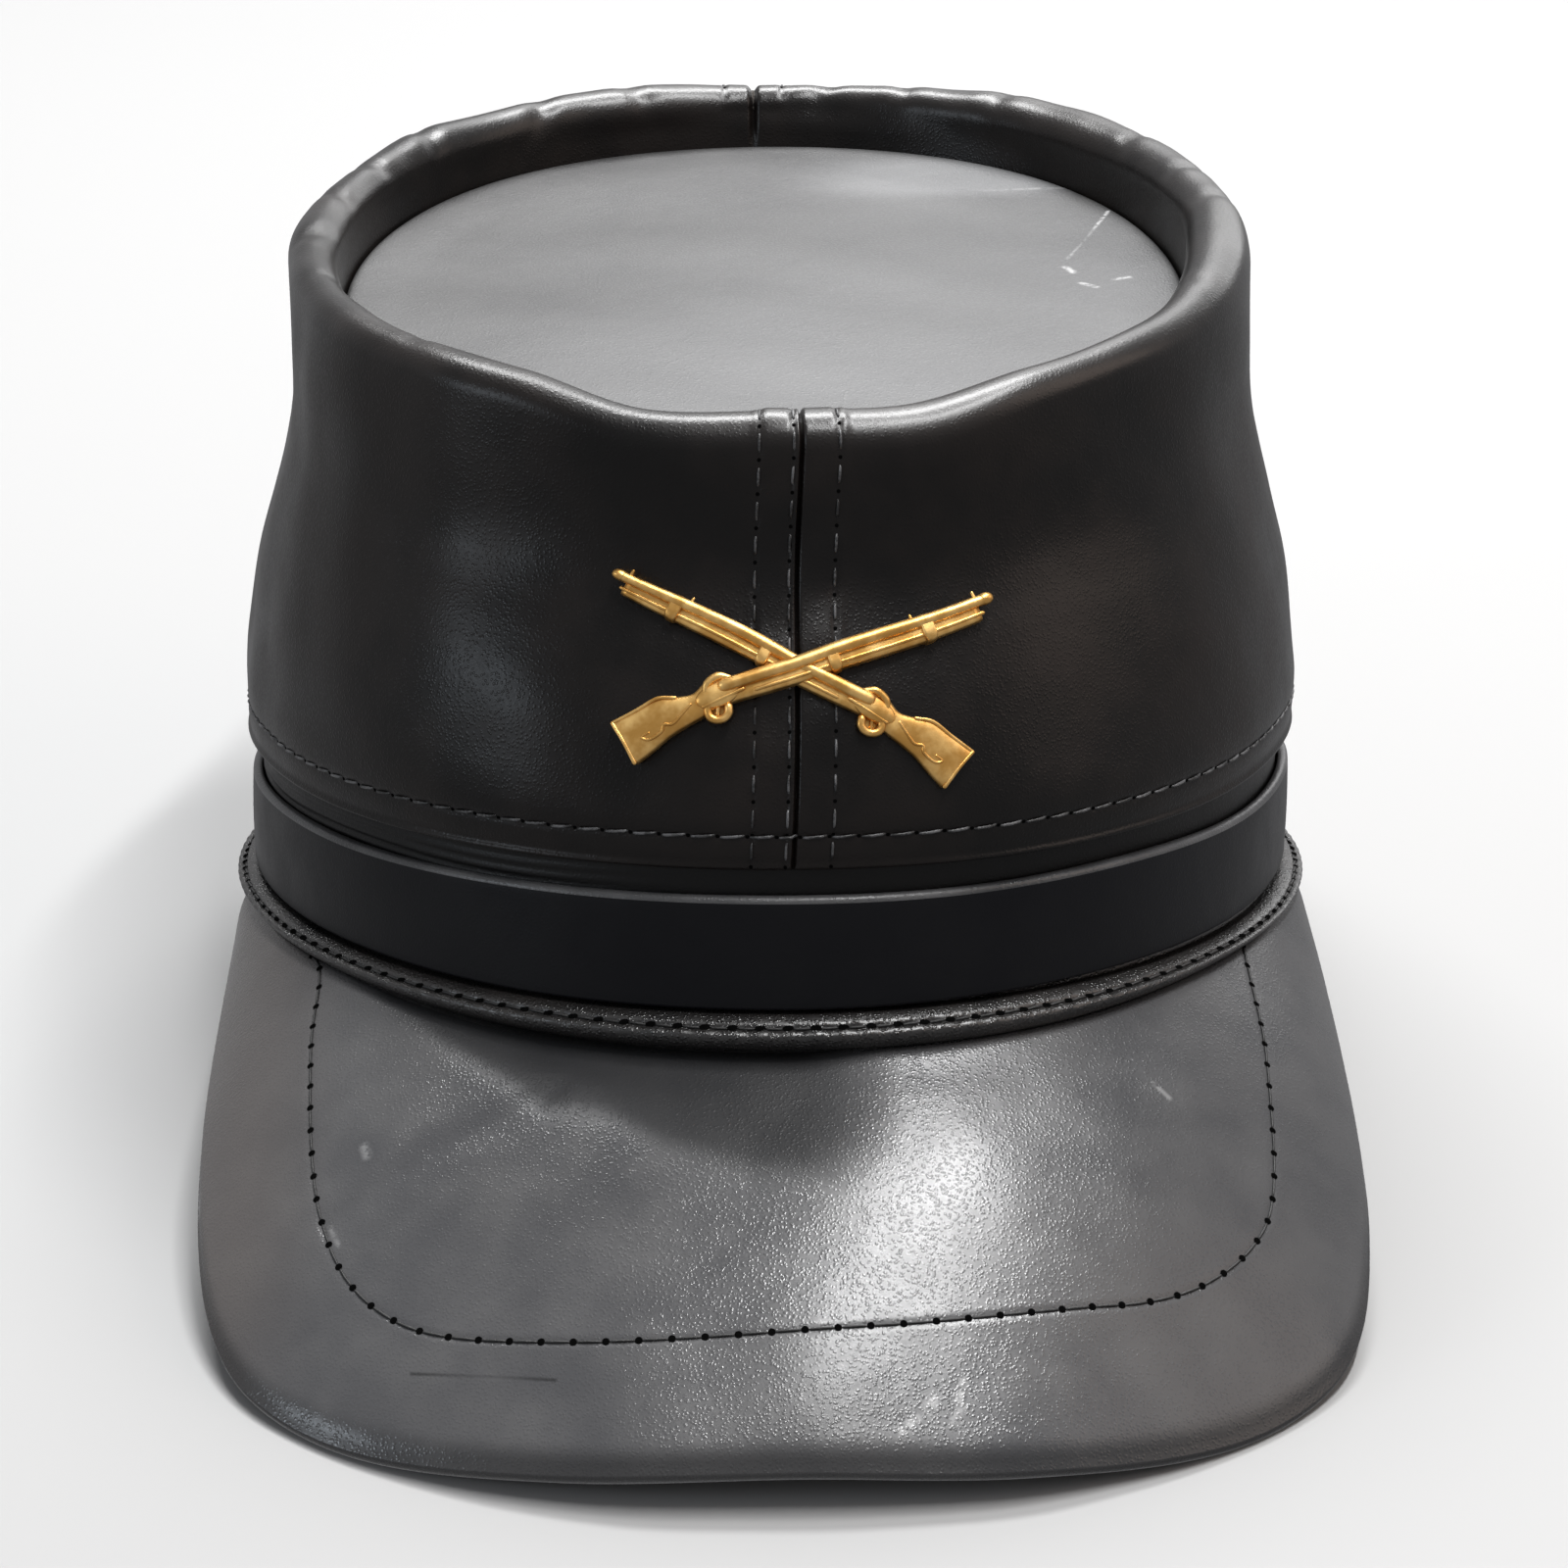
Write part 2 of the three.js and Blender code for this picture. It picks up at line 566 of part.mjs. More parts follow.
function rifle(hand) {
  const half = RIFLE_LENGTH / 2;
  const base = SEAM_GAP;
  const over = hand > 0 ? OVERPASS : 0;
  const top = base + PLATE_THICKNESS + over;
  const shoulder = base + 0.6 * PLATE_THICKNESS + over;
  const bevel = 0.12;
  const body = loft(
    RIFLE_ROWS.map((row) => {
      const [low, high] = [row.low * BUTT_DEPTH, row.high * BUTT_DEPTH];
      const point = (share, off) =>
        onBadge((row.along + share * row.lean) * half, mix(low, high, share), off, hand);
      return [
        point(0, base),
        point(1, base),
        point(1, shoulder),
        point(1 - bevel, top),
        point(bevel, top),
        point(0, shoulder),
      ];
    }),
    false,
  );
  const barrelRow = (along, radius) => {
    const lift = 0.25 * BUTT_DEPTH;
    const ring = [0, 45, 90, 135, 180].map((turn) => {
      const [c, s] = [Math.cos(deg(turn)), Math.sin(deg(turn))];
      return onBadge(along * half, lift + radius * c, shoulder + radius * (0.3 + s), hand);
    });
    return [
      ...ring,
      onBadge(along * half, lift - radius, base, hand),
      onBadge(along * half, lift + radius, base, hand),
    ];
  };
  const bandRow = (along) => {
    const [low, high] = [-0.22 * BUTT_DEPTH, 0.25 * BUTT_DEPTH + 1.2 * BARREL_RADIUS];
    const [base0, top0] = [base, shoulder + 1.5 * BARREL_RADIUS];
    return [
      onBadge(along * half, low, base0, hand),
      onBadge(along * half, high, base0, hand),
      onBadge(along * half, high, mix(base0, top0, 0.6), hand),
      onBadge(along * half, mix(low, high, 0.75), top0, hand),
      onBadge(along * half, mix(low, high, 0.3), mix(base0, top0, 0.9), hand),
      onBadge(along * half, low, mix(base0, top0, 0.5), hand),
    ];
  };
  const barrel = loft(
    [-0.34, -0.2, -0.05, 0.1, 0.25, 0.4, 0.55, 0.7, 0.85, 1].map((along) => barrelRow(along, BARREL_RADIUS)),
    false,
  );
  // The barrel bands hold the barrel and the fore-end together and stand a little proud of both.
  const collars = [0.18, 0.69].map((along) =>
    loft([along - 0.022, along + 0.022].map((end) => bandRow(end)), false),
  );
  const guard = triggerGuard(hand, base, shoulder);
  return [barrel, ...collars, guard].reduce((made, next) => made.add(toSolid(next)), toSolid(body));
}

// A small flat ring under the lock, reaching up into the rifle's body.
function triggerGuard(hand, base, top) {
  const centre = { along: -0.39 * (RIFLE_LENGTH / 2), lift: -0.25 * BUTT_DEPTH };
  const [outer, inner] = [0.3 * BUTT_DEPTH, 0.15 * BUTT_DEPTH];
  const sections = [];
  for (let i = 0; i < 12; i += 1) {
    const turn = (2 * Math.PI * i) / 12;
    const at = (radius, off) =>
      onBadge(centre.along + radius * Math.cos(turn), centre.lift + radius * Math.sin(turn), off, hand);
    sections.push([at(inner, base), at(outer, base), at(outer, top), at(inner, top)]);
  }
  return loft(sections, true);
}

// Each post stands behind a rifle's lock, square to the leather.
function postAxis(hand) {
  const outside = onBadge(-POST_SPACING, 0, SEAM_GAP + PLATE_THICKNESS / 2, hand);
  const inside = onBadge(-POST_SPACING, 0, -1, hand);
  return { start: outside, direction: inside.sub(outside).normalize() };
}

// A cylinder along a post's axis between two depths measured from the post's start.
function alongPost(hand, radius, from, to, sides) {
  const { start, direction } = postAxis(hand);
  const geometry = new THREE.CylinderGeometry(radius, radius, to - from, sides);
  const turn = new THREE.Quaternion().setFromUnitVectors(new THREE.Vector3(0, 1, 0), direction);
  geometry.applyQuaternion(turn);
  const middle = start.clone().addScaledVector(direction, (from + to) / 2);
  return toSolid(geometry.translate(middle.x, middle.y, middle.z));
}

const postToWall = SEAM_GAP + PLATE_THICKNESS / 2 + CROWN_WALL; // post's start to the crown's inner face
const clutchStart = postToWall + 2 * SEAM_GAP;
const postLength = clutchStart + CLUTCH_THICKNESS;

function badge() {
  const posts = [1, -1].map((hand) => alongPost(hand, POST_RADIUS, 0, postLength, 10));
  return posts.reduce((made, post) => made.add(post), rifle(1).add(rifle(-1)));
}

function clutch(hand) {
  const disc = alongPost(hand, CLUTCH_RADIUS, clutchStart, postLength, 20);
  return disc.subtract(alongPost(hand, POST_RADIUS + POST_CLEARANCE, 0, 2 * postLength, 10));
}

// The hole for a badge post, cut through one crown half.
function withPostHole(panel, hand) {
  return toSolid(panel).subtract(alongPost(hand, POST_RADIUS + POST_CLEARANCE, -1, 2 * postLength, 10));
}

// Materials and assembly

const grainedBlack = new THREE.MeshStandardMaterial({ color: 0x1b1a19, roughness: 0.45, metalness: 0 });
const smoothBlack = new THREE.MeshStandardMaterial({ color: 0x131316, roughness: 0.5, metalness: 0 });
const satinBlack = new THREE.MeshStandardMaterial({ color: 0x2b2b2d, roughness: 0.42, metalness: 0 });
const brass = new THREE.MeshStandardMaterial({ color: 0xd9a441, roughness: 0.28, metalness: 1 });

const cap = new THREE.Group();

function addPart(name, geometry, material) {
  const mesh = new THREE.Mesh(geometry, material);
  mesh.name = name;
  cap.add(mesh);
  return mesh;
}

// The rifle with hand 1 has its butt, and so its post, on the -X side.
addPart("crown_panel_right", toGeometry(withPostHole(crownPanel(1), -1)), grainedBlack);
addPart("crown_panel_left", toGeometry(withPostHole(crownPanel(-1), 1)), grainedBlack);
addPart("sunken_top", sunkenTop(), satinBlack);
const bandMesh = addPart("base_band", baseBand(), grainedBlack);
addPart("hat_strap", hatStrap(), smoothBlack);
const peakMesh = addPart("peak", peak(), satinBlack);
addPart("badge", toGeometry(badge()), brass);
addPart("badge_clutch_left", toGeometry(clutch(1)), brass);
addPart("badge_clutch_right", toGeometry(clutch(-1)), brass);

// Resting attitude

// Lowest point of a mesh after the cap is tipped back by tilt, in radians.
function lowest(mesh, tilt) {
  const p = mesh.geometry.attributes.position;
  let z = Infinity;
  for (let i = 0; i < p.count; i += 1) z = Math.min(z, p.getZ(i) * Math.cos(tilt) - p.getY(i) * Math.sin(tilt));
  return z;
}

// The tilt at which the peak and the back of the base band touch the same level surface.
function restingTilt() {
  let [low, high] = [0, deg(40)];
  for (let i = 0; i < 40; i += 1) {
    const middle = (low + high) / 2;
    if (lowest(peakMesh, middle) < lowest(bandMesh, middle)) low = middle;
    else high = middle;
  }
  return low;
}

cap.rotation.x = -restingTilt();
cap.updateMatrixWorld(true);
const box = new THREE.Box3().setFromObject(cap, true);
cap.position.set(-(box.min.x + box.max.x) / 2, -(box.min.y + box.max.y) / 2, -box.min.z);

export default cap;
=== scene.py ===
# %% [markdown]
# # A black leather kepi
#
# A kepi is sewn from a few leathers: two tall crown halves that roll over into a sunken top, a base band
# with a turned lower edge (the welt), a smooth strap round it and a stiff peak. A small brass badge of two
# crossed rifles is pinned through the front. The CAD model holds all of these as plain faceted solids in a
# fixed frame. This lesson puts a finely modelled, stitched and grained skin in the place of each.
#
# Every shape is worked out in the cap's own frame, in millimetres, where the base plane is level and the
# origin is in its middle. One function at the end of that work places the points in the frame of the
# model, in metres, where the cap leans back on its peak.

import bpy
import numpy as np
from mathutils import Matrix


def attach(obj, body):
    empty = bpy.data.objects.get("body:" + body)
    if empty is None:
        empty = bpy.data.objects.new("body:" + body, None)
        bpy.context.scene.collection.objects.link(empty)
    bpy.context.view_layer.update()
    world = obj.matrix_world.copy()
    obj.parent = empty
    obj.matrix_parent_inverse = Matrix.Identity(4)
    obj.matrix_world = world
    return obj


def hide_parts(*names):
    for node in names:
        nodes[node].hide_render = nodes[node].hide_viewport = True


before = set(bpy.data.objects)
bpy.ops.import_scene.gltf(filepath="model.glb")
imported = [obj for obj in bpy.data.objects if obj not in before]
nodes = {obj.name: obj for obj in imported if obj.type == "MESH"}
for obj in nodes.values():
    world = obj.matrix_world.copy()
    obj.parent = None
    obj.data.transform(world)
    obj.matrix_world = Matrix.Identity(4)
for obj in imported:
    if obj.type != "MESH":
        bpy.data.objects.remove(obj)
scene = bpy.context.scene
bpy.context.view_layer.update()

# %% Sizes in millimetres, the same as in the CAD source
HEAD_WIDTH = 162
HEAD_LENGTH = 193
BAND_WALL = 1.8
SEAM_GAP = 0.3
WELT_REACH = 5.3
WELT_HEIGHT = 4.9

STRAP_WALL = 1.6
STRAP_HEIGHT = 16.5
STRAP_ASKEW = 0.8
STRAP_EASE = 0.25

CROWN_WALL = 1.6
CROWN_REVEAL = 4.2
CROWN_LAP = 8
CROWN_HEIGHT = 75.7
CROWN_BELLY = 1
RIM_WIDTH = 153.4
RIM_LENGTH = 176
RIM_SHIFT = -1
RIM_LEAN = -0.8
RIM_SLOPE = np.radians(11.6)
RIM_SQUARENESS = 0.025
ROLL_RADIUS = 4.5
FRONT_SEAM_SHIFT = 1.5
SEAM_FOLD = 6
FOLD_START = 0.2

TOP_DEPTH = 9.3
TOP_SLOPE = np.radians(12)
TOP_ROLL = np.radians(0.9)
TOP_WALL = 2.2

PEAK_WALL = 3
PEAK_INSET = 1.6
PEAK_REACH = 49
PEAK_DROP = 41.8
PEAK_SPREAD = np.radians(78)
PEAK_TUCK = 5.2
PEAK_SWELL = 2.6

STRAP_BOTTOM = WELT_HEIGHT + SEAM_GAP
STRAP_TOP = STRAP_BOTTOM + STRAP_HEIGHT
CROWN_BOTTOM = STRAP_TOP + CROWN_REVEAL
BAND_TOP = CROWN_BOTTOM + CROWN_LAP
RIM_MIDDLE = CROWN_BOTTOM + CROWN_HEIGHT
CROWN_OFFSET = BAND_WALL + SEAM_GAP + CROWN_WALL
WELT_OFFSET = BAND_WALL + WELT_REACH

# %% Tables that the hand-cut forms follow
# The crown wall: share of its height, share of the way from base oval to rim oval, share of the belly.
WALL_ROWS = np.array([
    (0.0, 0.0, 0.0), (0.06, 0.0, 0.6), (0.13, 0.01, 1.0), (0.25, 0.13, 0.9), (0.38, 0.32, 0.7),
    (0.51, 0.59, 0.45), (0.6, 0.81, 0.25), (0.67, 0.94, 0.1), (0.75, 1.0, 0.0), (0.87, 1.01, 0.0),
    (1.0, 1.0, 0.0),
])
# The rim: degrees from the front towards +X, rise over its sloping plane as a share of the height.
RIM_ROWS = np.array([
    (0, 0.01), (15, 0.0), (30, 0.045), (60, 0.057), (90, 0.06), (120, 0.035), (150, 0.018), (180, 0.002),
    (210, 0.0), (240, 0.0), (270, 0.005), (300, 0.04), (330, 0.045), (345, 0.0),
])
# The lower edges: degrees, rise of the base's edge, reach of the welt, lift of the crown's lower edge.
BASE_ROWS = np.array([
    (0, 0.0, 1.0, 0.0), (25, 0.1, 1.0, 0.0), (50, 0.5, 0.95, 0.25), (75, 0.62, 0.9, 0.7),
    (100, 0.52, 0.9, 0.6), (125, 0.45, 0.9, 0.4), (150, 0.45, 0.9, 0.35), (180, 0.45, 0.9, 0.35),
    (210, 0.45, 0.9, 0.35), (235, 0.45, 0.9, 0.35), (265, 0.48, 0.88, 0.35), (285, 0.5, 0.88, 0.3),
    (310, 0.36, 0.94, 0.05), (335, 0.1, 1.0, 0.0),
])
# The welt's section: shares of its reach and of its height, from the strap to the peak.
WELT_ROWS = np.array([
    (0.0, 1.0), (0.45, 0.9), (0.8, 0.74), (1.0, 0.5), (1.0, 0.27), (0.88, 0.08), (0.76, 0.0),
])
# The peak's edge from front to end: share of the half width, of the way forward, of the drop.
PEAK_ROWS = np.array([
    (0.0, 0.0, 1.0, 1.0), (0.15, 0.37, 0.98, 1.03), (0.3, 0.705, 0.895, 1.05), (0.42, 0.9, 0.775, 0.95),
    (0.57, 0.985, 0.59, 0.7), (0.78, 1.005, 0.3, 0.37), (1.0, 1.0, 0.0, 0.08),
])


# %% A smooth curve through a table
def smooth_column(rows, column, period=None):
    """Cubic pieces through a table's rows, keyed by its first column. The slope at a row is that of the
    line through its two neighbours. period makes the table wrap round."""
    x, y = rows[:, 0], rows[:, column]
    if period:
        x = np.concatenate([x[-2:] - period, x, x[:2] + period])
        y = np.concatenate([y[-2:], y, y[:2]])
    before = np.concatenate([[0], np.arange(len(x) - 1)])
    after = np.concatenate([np.arange(1, len(x)), [len(x) - 1]])
    slope = (y[after] - y[before]) / (x[after] - x[before])

    def curve(t):
        t = np.mod(t, period) if period else np.clip(t, x[0], x[-1])
        i = np.clip(np.searchsorted(x, t, side="right") - 1, 0, len(x) - 2)
        width = x[i + 1] - x[i]
        s = (t - x[i]) / width
        start = y[i] * (2 * s**3 - 3 * s**2 + 1) + slope[i] * width * (s**3 - 2 * s**2 + s)
        end = y[i + 1] * (3 * s**2 - 2 * s**3) + slope[i + 1] * width * (s**3 - s**2)
        return start + end

    return curve


def mix(a, b, share):
    """The value that lies a share of the way from a to b."""
    return a + (b - a) * share


def bump(distance, width):
    """A smooth hill of height 1 whose sides fall off over width."""
    return np.exp(-((distance / width) ** 2))


def step_up(value, start, end):
    """A smooth step from 0 at start to 1 at end."""
    share = np.clip((value - start) / (end - start), 0, 1)
    return share * share * (3 - 2 * share)


def unit(vectors):
    """The same directions with length 1."""
    return vectors / np.maximum(np.linalg.norm(vectors, axis=-1, keepdims=True), 1e-12)


def soft_waves(points, length, amount, seed, count=9):
    """Gentle uneven ground: sine waves of about the given length in seeded directions, added up."""
    rng = np.random.default_rng(seed)
    direction = unit(rng.normal(size=(count, 3)))
    number = 2 * np.pi / (length * rng.uniform(0.75, 1.35, count))
    phase = rng.uniform(0, 2 * np.pi, count)
    waves = np.sin(points @ (direction * number[:, None]).T + phase)
    return amount * waves.sum(-1) * np.sqrt(2 / count)


# %% [markdown]
# The cap lies tipped back on a table, so its own level frame has to be found in the model. The base band's
# upper edge is its one flat ring, level in the cap's frame and at a known height. The largest set of
# upward faces that share one direction is that ring. Its direction gives the tilt, its middle the offset.

# %% The cap's own frame
def face_table(node):
    """Normals, areas and corner points (mm) of a node's triangles."""
    mesh = node.data
    count = len(mesh.polygons)
    normal, area = np.empty(3 * count), np.empty(count)
    mesh.polygons.foreach_get("normal", normal)
    mesh.polygons.foreach_get("area", area)
    corner = np.empty(3 * count, int)
    mesh.loops.foreach_get("vertex_index", corner)
    point = np.empty(3 * len(mesh.vertices))
    mesh.vertices.foreach_get("co", point)
    return normal.reshape(-1, 3), area, 1000 * point.reshape(-1, 3)[corner].reshape(-1, 3, 3)


def find_cap_frame(node):
    """Tilt (radians) and offset (mm) of the cap's own frame, from the band's flat upper ring."""
    normal, area, corners = face_table(node)
    upward = normal[:, 2] > 0.9
    keys, member = np.unique(np.round(normal[upward], 3), axis=0, return_inverse=True)
    shared = keys[np.bincount(member.ravel(), weights=area[upward]).argmax()]
    flat = upward & (np.abs(normal - shared).max(1) < 0.002)
    level = unit((normal[flat] * area[flat, None]).sum(0))
    tilt = np.arctan2(level[1], level[2])
    ring = corners[flat].reshape(-1, 3)
    y = ring[:, 1] * np.cos(tilt) - ring[:, 2] * np.sin(tilt)
    z = ring[:, 1] * np.sin(tilt) + ring[:, 2] * np.cos(tilt)
    middle = [(ring[:, 0].min() + ring[:, 0].max()) / 2, (y.min() + y.max()) / 2, z.mean() - BAND_TOP]
    return tilt, np.array(middle)


TILT, OFFSET = find_cap_frame(nodes["base_band"])
print("tipped back", round(np.degrees(TILT), 3), "degrees, base middle at", OFFSET.round(3), "mm")


def turned(vectors):
    """Directions of the cap's frame as directions of the model's frame."""
    y = vectors[..., 1] * np.cos(TILT) + vectors[..., 2] * np.sin(TILT)
    z = vectors[..., 2] * np.cos(TILT) - vectors[..., 1] * np.sin(TILT)
    return np.stack([vectors[..., 0], y, z], -1)


def place(points):
    """Points of the cap's frame in mm as points of the model's frame in metres."""
    return turned(points + OFFSET) / 1000


# %% [markdown]
# Most pieces are lofts: a closed section of the leather, with the same number of points everywhere, is
# carried round the head or along the peak. On a grid of such points, neighbours make quads. A section
# lists its outer face first and its inner face backwards, so the first and the last point lie opposite
# each other, and so on, and an open end is closed by a strip of quads between opposite points.

# %% Meshes from grids of points
def loft_faces(sections, points, closed):
    """Quads of a loft whose sections are closed loops; open ends are capped between opposite points."""
    rows = np.arange(sections if closed else sections - 1)[:, None]
    columns = np.arange(points)[None, :]
    next_row, next_column = (rows + 1) % sections, (columns + 1) % points
    corners = [
        rows * points + columns, next_row * points + columns,
        next_row * points + next_column, rows * points + next_column,
    ]
    quads = np.stack(np.broadcast_arrays(*corners), -1).reshape(-1, 4)
    if closed:
        return quads, quads[:0]
    k = np.arange(points // 2 - 1)
    first = np.stack([k, k + 1, points - 2 - k, points - 1 - k], -1)
    last = first[:, ::-1] + (sections - 1) * points
    return quads, np.concatenate([first, last])


def welded(points, faces):
    """Merges points that coincide, and drops the corners and faces that this makes empty."""
    _, keep, number = np.unique(np.round(points, 5), axis=0, return_index=True, return_inverse=True)
    faces = number.ravel()[faces]
    solid = faces != np.roll(faces, -1, axis=1)
    whole = solid.sum(1) >= 3
    return points[keep], faces[whole], solid[whole], keep, whole


def make_piece(name, points, faces, materials, replaces=(), flat=(), kind=None, values=None):
    """One object from points (mm, cap's frame) and quads. flat marks faces that stay unsmoothed, kind
    gives each face's material number, and values are named numbers kept on the points."""
    spots, faces, solid, keep, whole = welded(points.reshape(-1, 3), faces)
    mesh = bpy.data.meshes.new(name)
    mesh.vertices.add(len(spots))
    mesh.vertices.foreach_set("co", place(spots).ravel())
    corners = faces[solid]
    sides = solid.sum(1)
    mesh.loops.add(len(corners))
    mesh.loops.foreach_set("vertex_index", corners)
    mesh.polygons.add(len(faces))
    mesh.polygons.foreach_set("loop_start", np.concatenate([[0], np.cumsum(sides)[:-1]]))
    smooth = np.ones(len(whole), bool)
    smooth[list(flat)] = False
    mesh.polygons.foreach_set("use_smooth", smooth[whole])
    if kind is not None:
        mesh.polygons.foreach_set("material_index", np.asarray(kind)[whole].astype(np.int32))
    for key, numbers in (values or {}).items():
        layer = mesh.attributes.new(key, "FLOAT", "POINT")
        layer.data.foreach_set("value", np.asarray(numbers, np.float32).ravel()[keep])
    mesh.update(calc_edges=True)
    mesh.validate()
    for material in materials:
        mesh.materials.append(material)
    piece = bpy.data.objects.new(name, mesh)
    scene.collection.objects.link(piece)
    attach(piece, "root")
    if replaces:
        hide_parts(*replaces)
    triangles = int((sides - 2).sum())
    print(name, "has", len(spots), "points and", triangles, "triangles")


def make_loft(name, sections, closed, materials, replaces=(), second=(0, 0), values=None):
    """A loft as one object. The section's points in the range second get the second material."""
    rows, points = sections.shape[:2]
    quads, caps = loft_faces(rows, points, closed)
    inner = (quads[:, 0] % points >= second[0]) & (quads[:, 0] % points < second[1])
    kind = np.concatenate([inner, np.zeros(len(caps), bool)])
    flat = np.arange(len(quads), len(quads) + len(caps))
    faces = np.concatenate([quads, caps])
    if signed_volume(sections.reshape(-1, 3), faces) < 0:
        faces = faces[:, ::-1]
    make_piece(name, sections, faces, materials, replaces, flat, kind, values)


def signed_volume(points, faces):
    """The enclosed volume: a sixth of each triangle's triple product, added up; negative inside out."""
    a, b, c, d = (points[faces[:, k]] for k in range(4))
    return ((a * np.cross(b, c)).sum() + (a * np.cross(c, d)).sum()) / 6


# %% Ovals and the crown's wall
def oval(half_width, half_length, middle, squareness, around, out, z):
    """An oval's point: x = a sin t, y = -b cos t, both pushed out by 1 + q sin(2t) squared, then moved
    by out along the oval's outward normal. t is in radians from the front towards +X."""
    double = np.sin(2 * around)
    push = 1 + squareness * double**2
    slope = 4 * squareness * double * np.cos(2 * around)
    x = middle[0] + half_width * np.sin(around) * push
    y = middle[1] - half_length * np.cos(around) * push
    along_x = half_width * (np.cos(around) * push + np.sin(around) * slope)
    along_y = half_length * (np.sin(around) * push - np.cos(around) * slope)
    length = np.hypot(along_x, along_y)
    return np.stack(np.broadcast_arrays(x + out * along_y / length, y - out * along_x / length, z), -1)


def head_oval(around, out, z):
    """The oval of the head opening, moved outward by out."""
    return oval(HEAD_WIDTH / 2, HEAD_LENGTH / 2, (0, 0), 0, around, out, z)


rim_rise = smooth_column(RIM_ROWS, 1, 360)
edge_rise = smooth_column(BASE_ROWS, 1, 360)
edge_reach = smooth_column(BASE_ROWS, 2, 360)
edge_hem = smooth_column(BASE_ROWS, 3, 360)
wall_inset = smooth_column(WALL_ROWS, 1)
wall_belly = smooth_column(WALL_ROWS, 2)


def base_rise(around):
    """How far the base's lower edge is drawn up, in mm."""
    return WELT_HEIGHT * edge_rise(np.degrees(around))


def welt_reach(around):
    """How far the welt stands out of the base band, in mm."""
    return WELT_REACH * edge_reach(np.degrees(around))


def hem_rise(around):
    """How far the crown's lower edge is lifted, in mm."""
    return CROWN_REVEAL * edge_hem(np.degrees(around))


def rim_height(around):
    """Height of the roll's middle: a plane that rises towards the back, plus the rim's own rise."""
    y = RIM_SHIFT - RIM_LENGTH / 2 * np.cos(around)
    return RIM_MIDDLE + y * np.tan(RIM_SLOPE) + CROWN_HEIGHT * rim_rise(np.degrees(around))


def top_height(x, y):
    """Height of the sunken top's plane over a place."""
    return RIM_MIDDLE + ROLL_RADIUS - TOP_DEPTH + y * np.tan(TOP_SLOPE) + x * np.tan(TOP_ROLL)


def wall_point(around, height, out=0.0):
    """The crown's outer face at a share of its height, moved outward by out."""
    inset = wall_inset(height)
    half_width = mix(HEAD_WIDTH / 2 + CROWN_OFFSET, RIM_WIDTH / 2, inset)
    half_length = mix(HEAD_LENGTH / 2 + CROWN_OFFSET, RIM_LENGTH / 2, inset)
    z = mix(CROWN_BOTTOM + hem_rise(around), rim_height(around), height)
    swell = CROWN_BELLY * wall_belly(height)
    middle = (RIM_LEAN * inset, RIM_SHIFT * inset)
    return oval(half_width, half_length, middle, RIM_SQUARENESS * inset, around, out + swell, z)


# %% [markdown]
# Each crown half is one leather with a J-shaped section: up the wall, over the rolled rim and down into
# the recess. One number, the station, runs along that J: 0 to 1 up the wall, 1 to 2 over the roll and
# 2 to 3 down the recess. Everything that makes the leather look handled is added to this skin as a lift
# in millimetres: the seam edges that turn in, the allowances that lie double behind them, valleys under
# the stitching, slack waves, and the creases of the roll.

# %% The crown's skin
BACK_SEAM = np.pi
FRONT_SEAM = FRONT_SEAM_SHIFT / (RIM_WIDTH / 2)
SEAM_LEAN = (-0.9, 1.5)  # how far the front seam is off it at the bottom and at the top, mm to +X
SEAM_PITCH = 4.8
HEM_ROW = 5.0  # stitching over the crown's lower edge
HEM_PITCH = 4.2
CREASE_DEPTH = 1.5  # deepens every crease of the rim's table
FRONT_COLUMNS = np.array([-5.9, -1.05, 5.4])  # stitching beside the front seam, mm towards +X
BACK_COLUMNS = np.array([-5.5, 5.5])
BADGE_HEIGHT = 26.5
BADGE_SHIFT = 1.8


def crown_skin(around, station, lift):
    """A point of the crown's skin, lift mm over the outer face of the plain crown."""
    turn = np.pi * np.clip(station - 1, 0, 1)
    radius = ROLL_RADIUS + lift
    out = np.where(station <= 1, lift, radius * np.cos(turn) - ROLL_RADIUS)
    point = wall_point(around, np.clip(station, 0, 1), out)
    middle = rim_height(around)
    rolled = middle + radius * np.sin(turn)
    recess = wall_point(around, 1.0, -2 * ROLL_RADIUS)
    bottom = top_height(recess[..., 0], recess[..., 1]) - TOP_WALL
    sunk = mix(middle, bottom, np.clip(station - 2, 0, 1))
    z = np.where(station <= 1, point[..., 2], np.where(station <= 2, rolled, sunk))
    return np.stack([point[..., 0], point[..., 1], z], -1)


def seam_distance(around, station, seam):
    """Millimetres round the head from a seam, positive towards +X at the front seam."""
    half_width = mix(HEAD_WIDTH / 2 + CROWN_OFFSET, RIM_WIDTH / 2, wall_inset(np.clip(station, 0, 1)))
    turn = np.mod(around - seam + np.pi, 2 * np.pi) - np.pi
    return turn * half_width


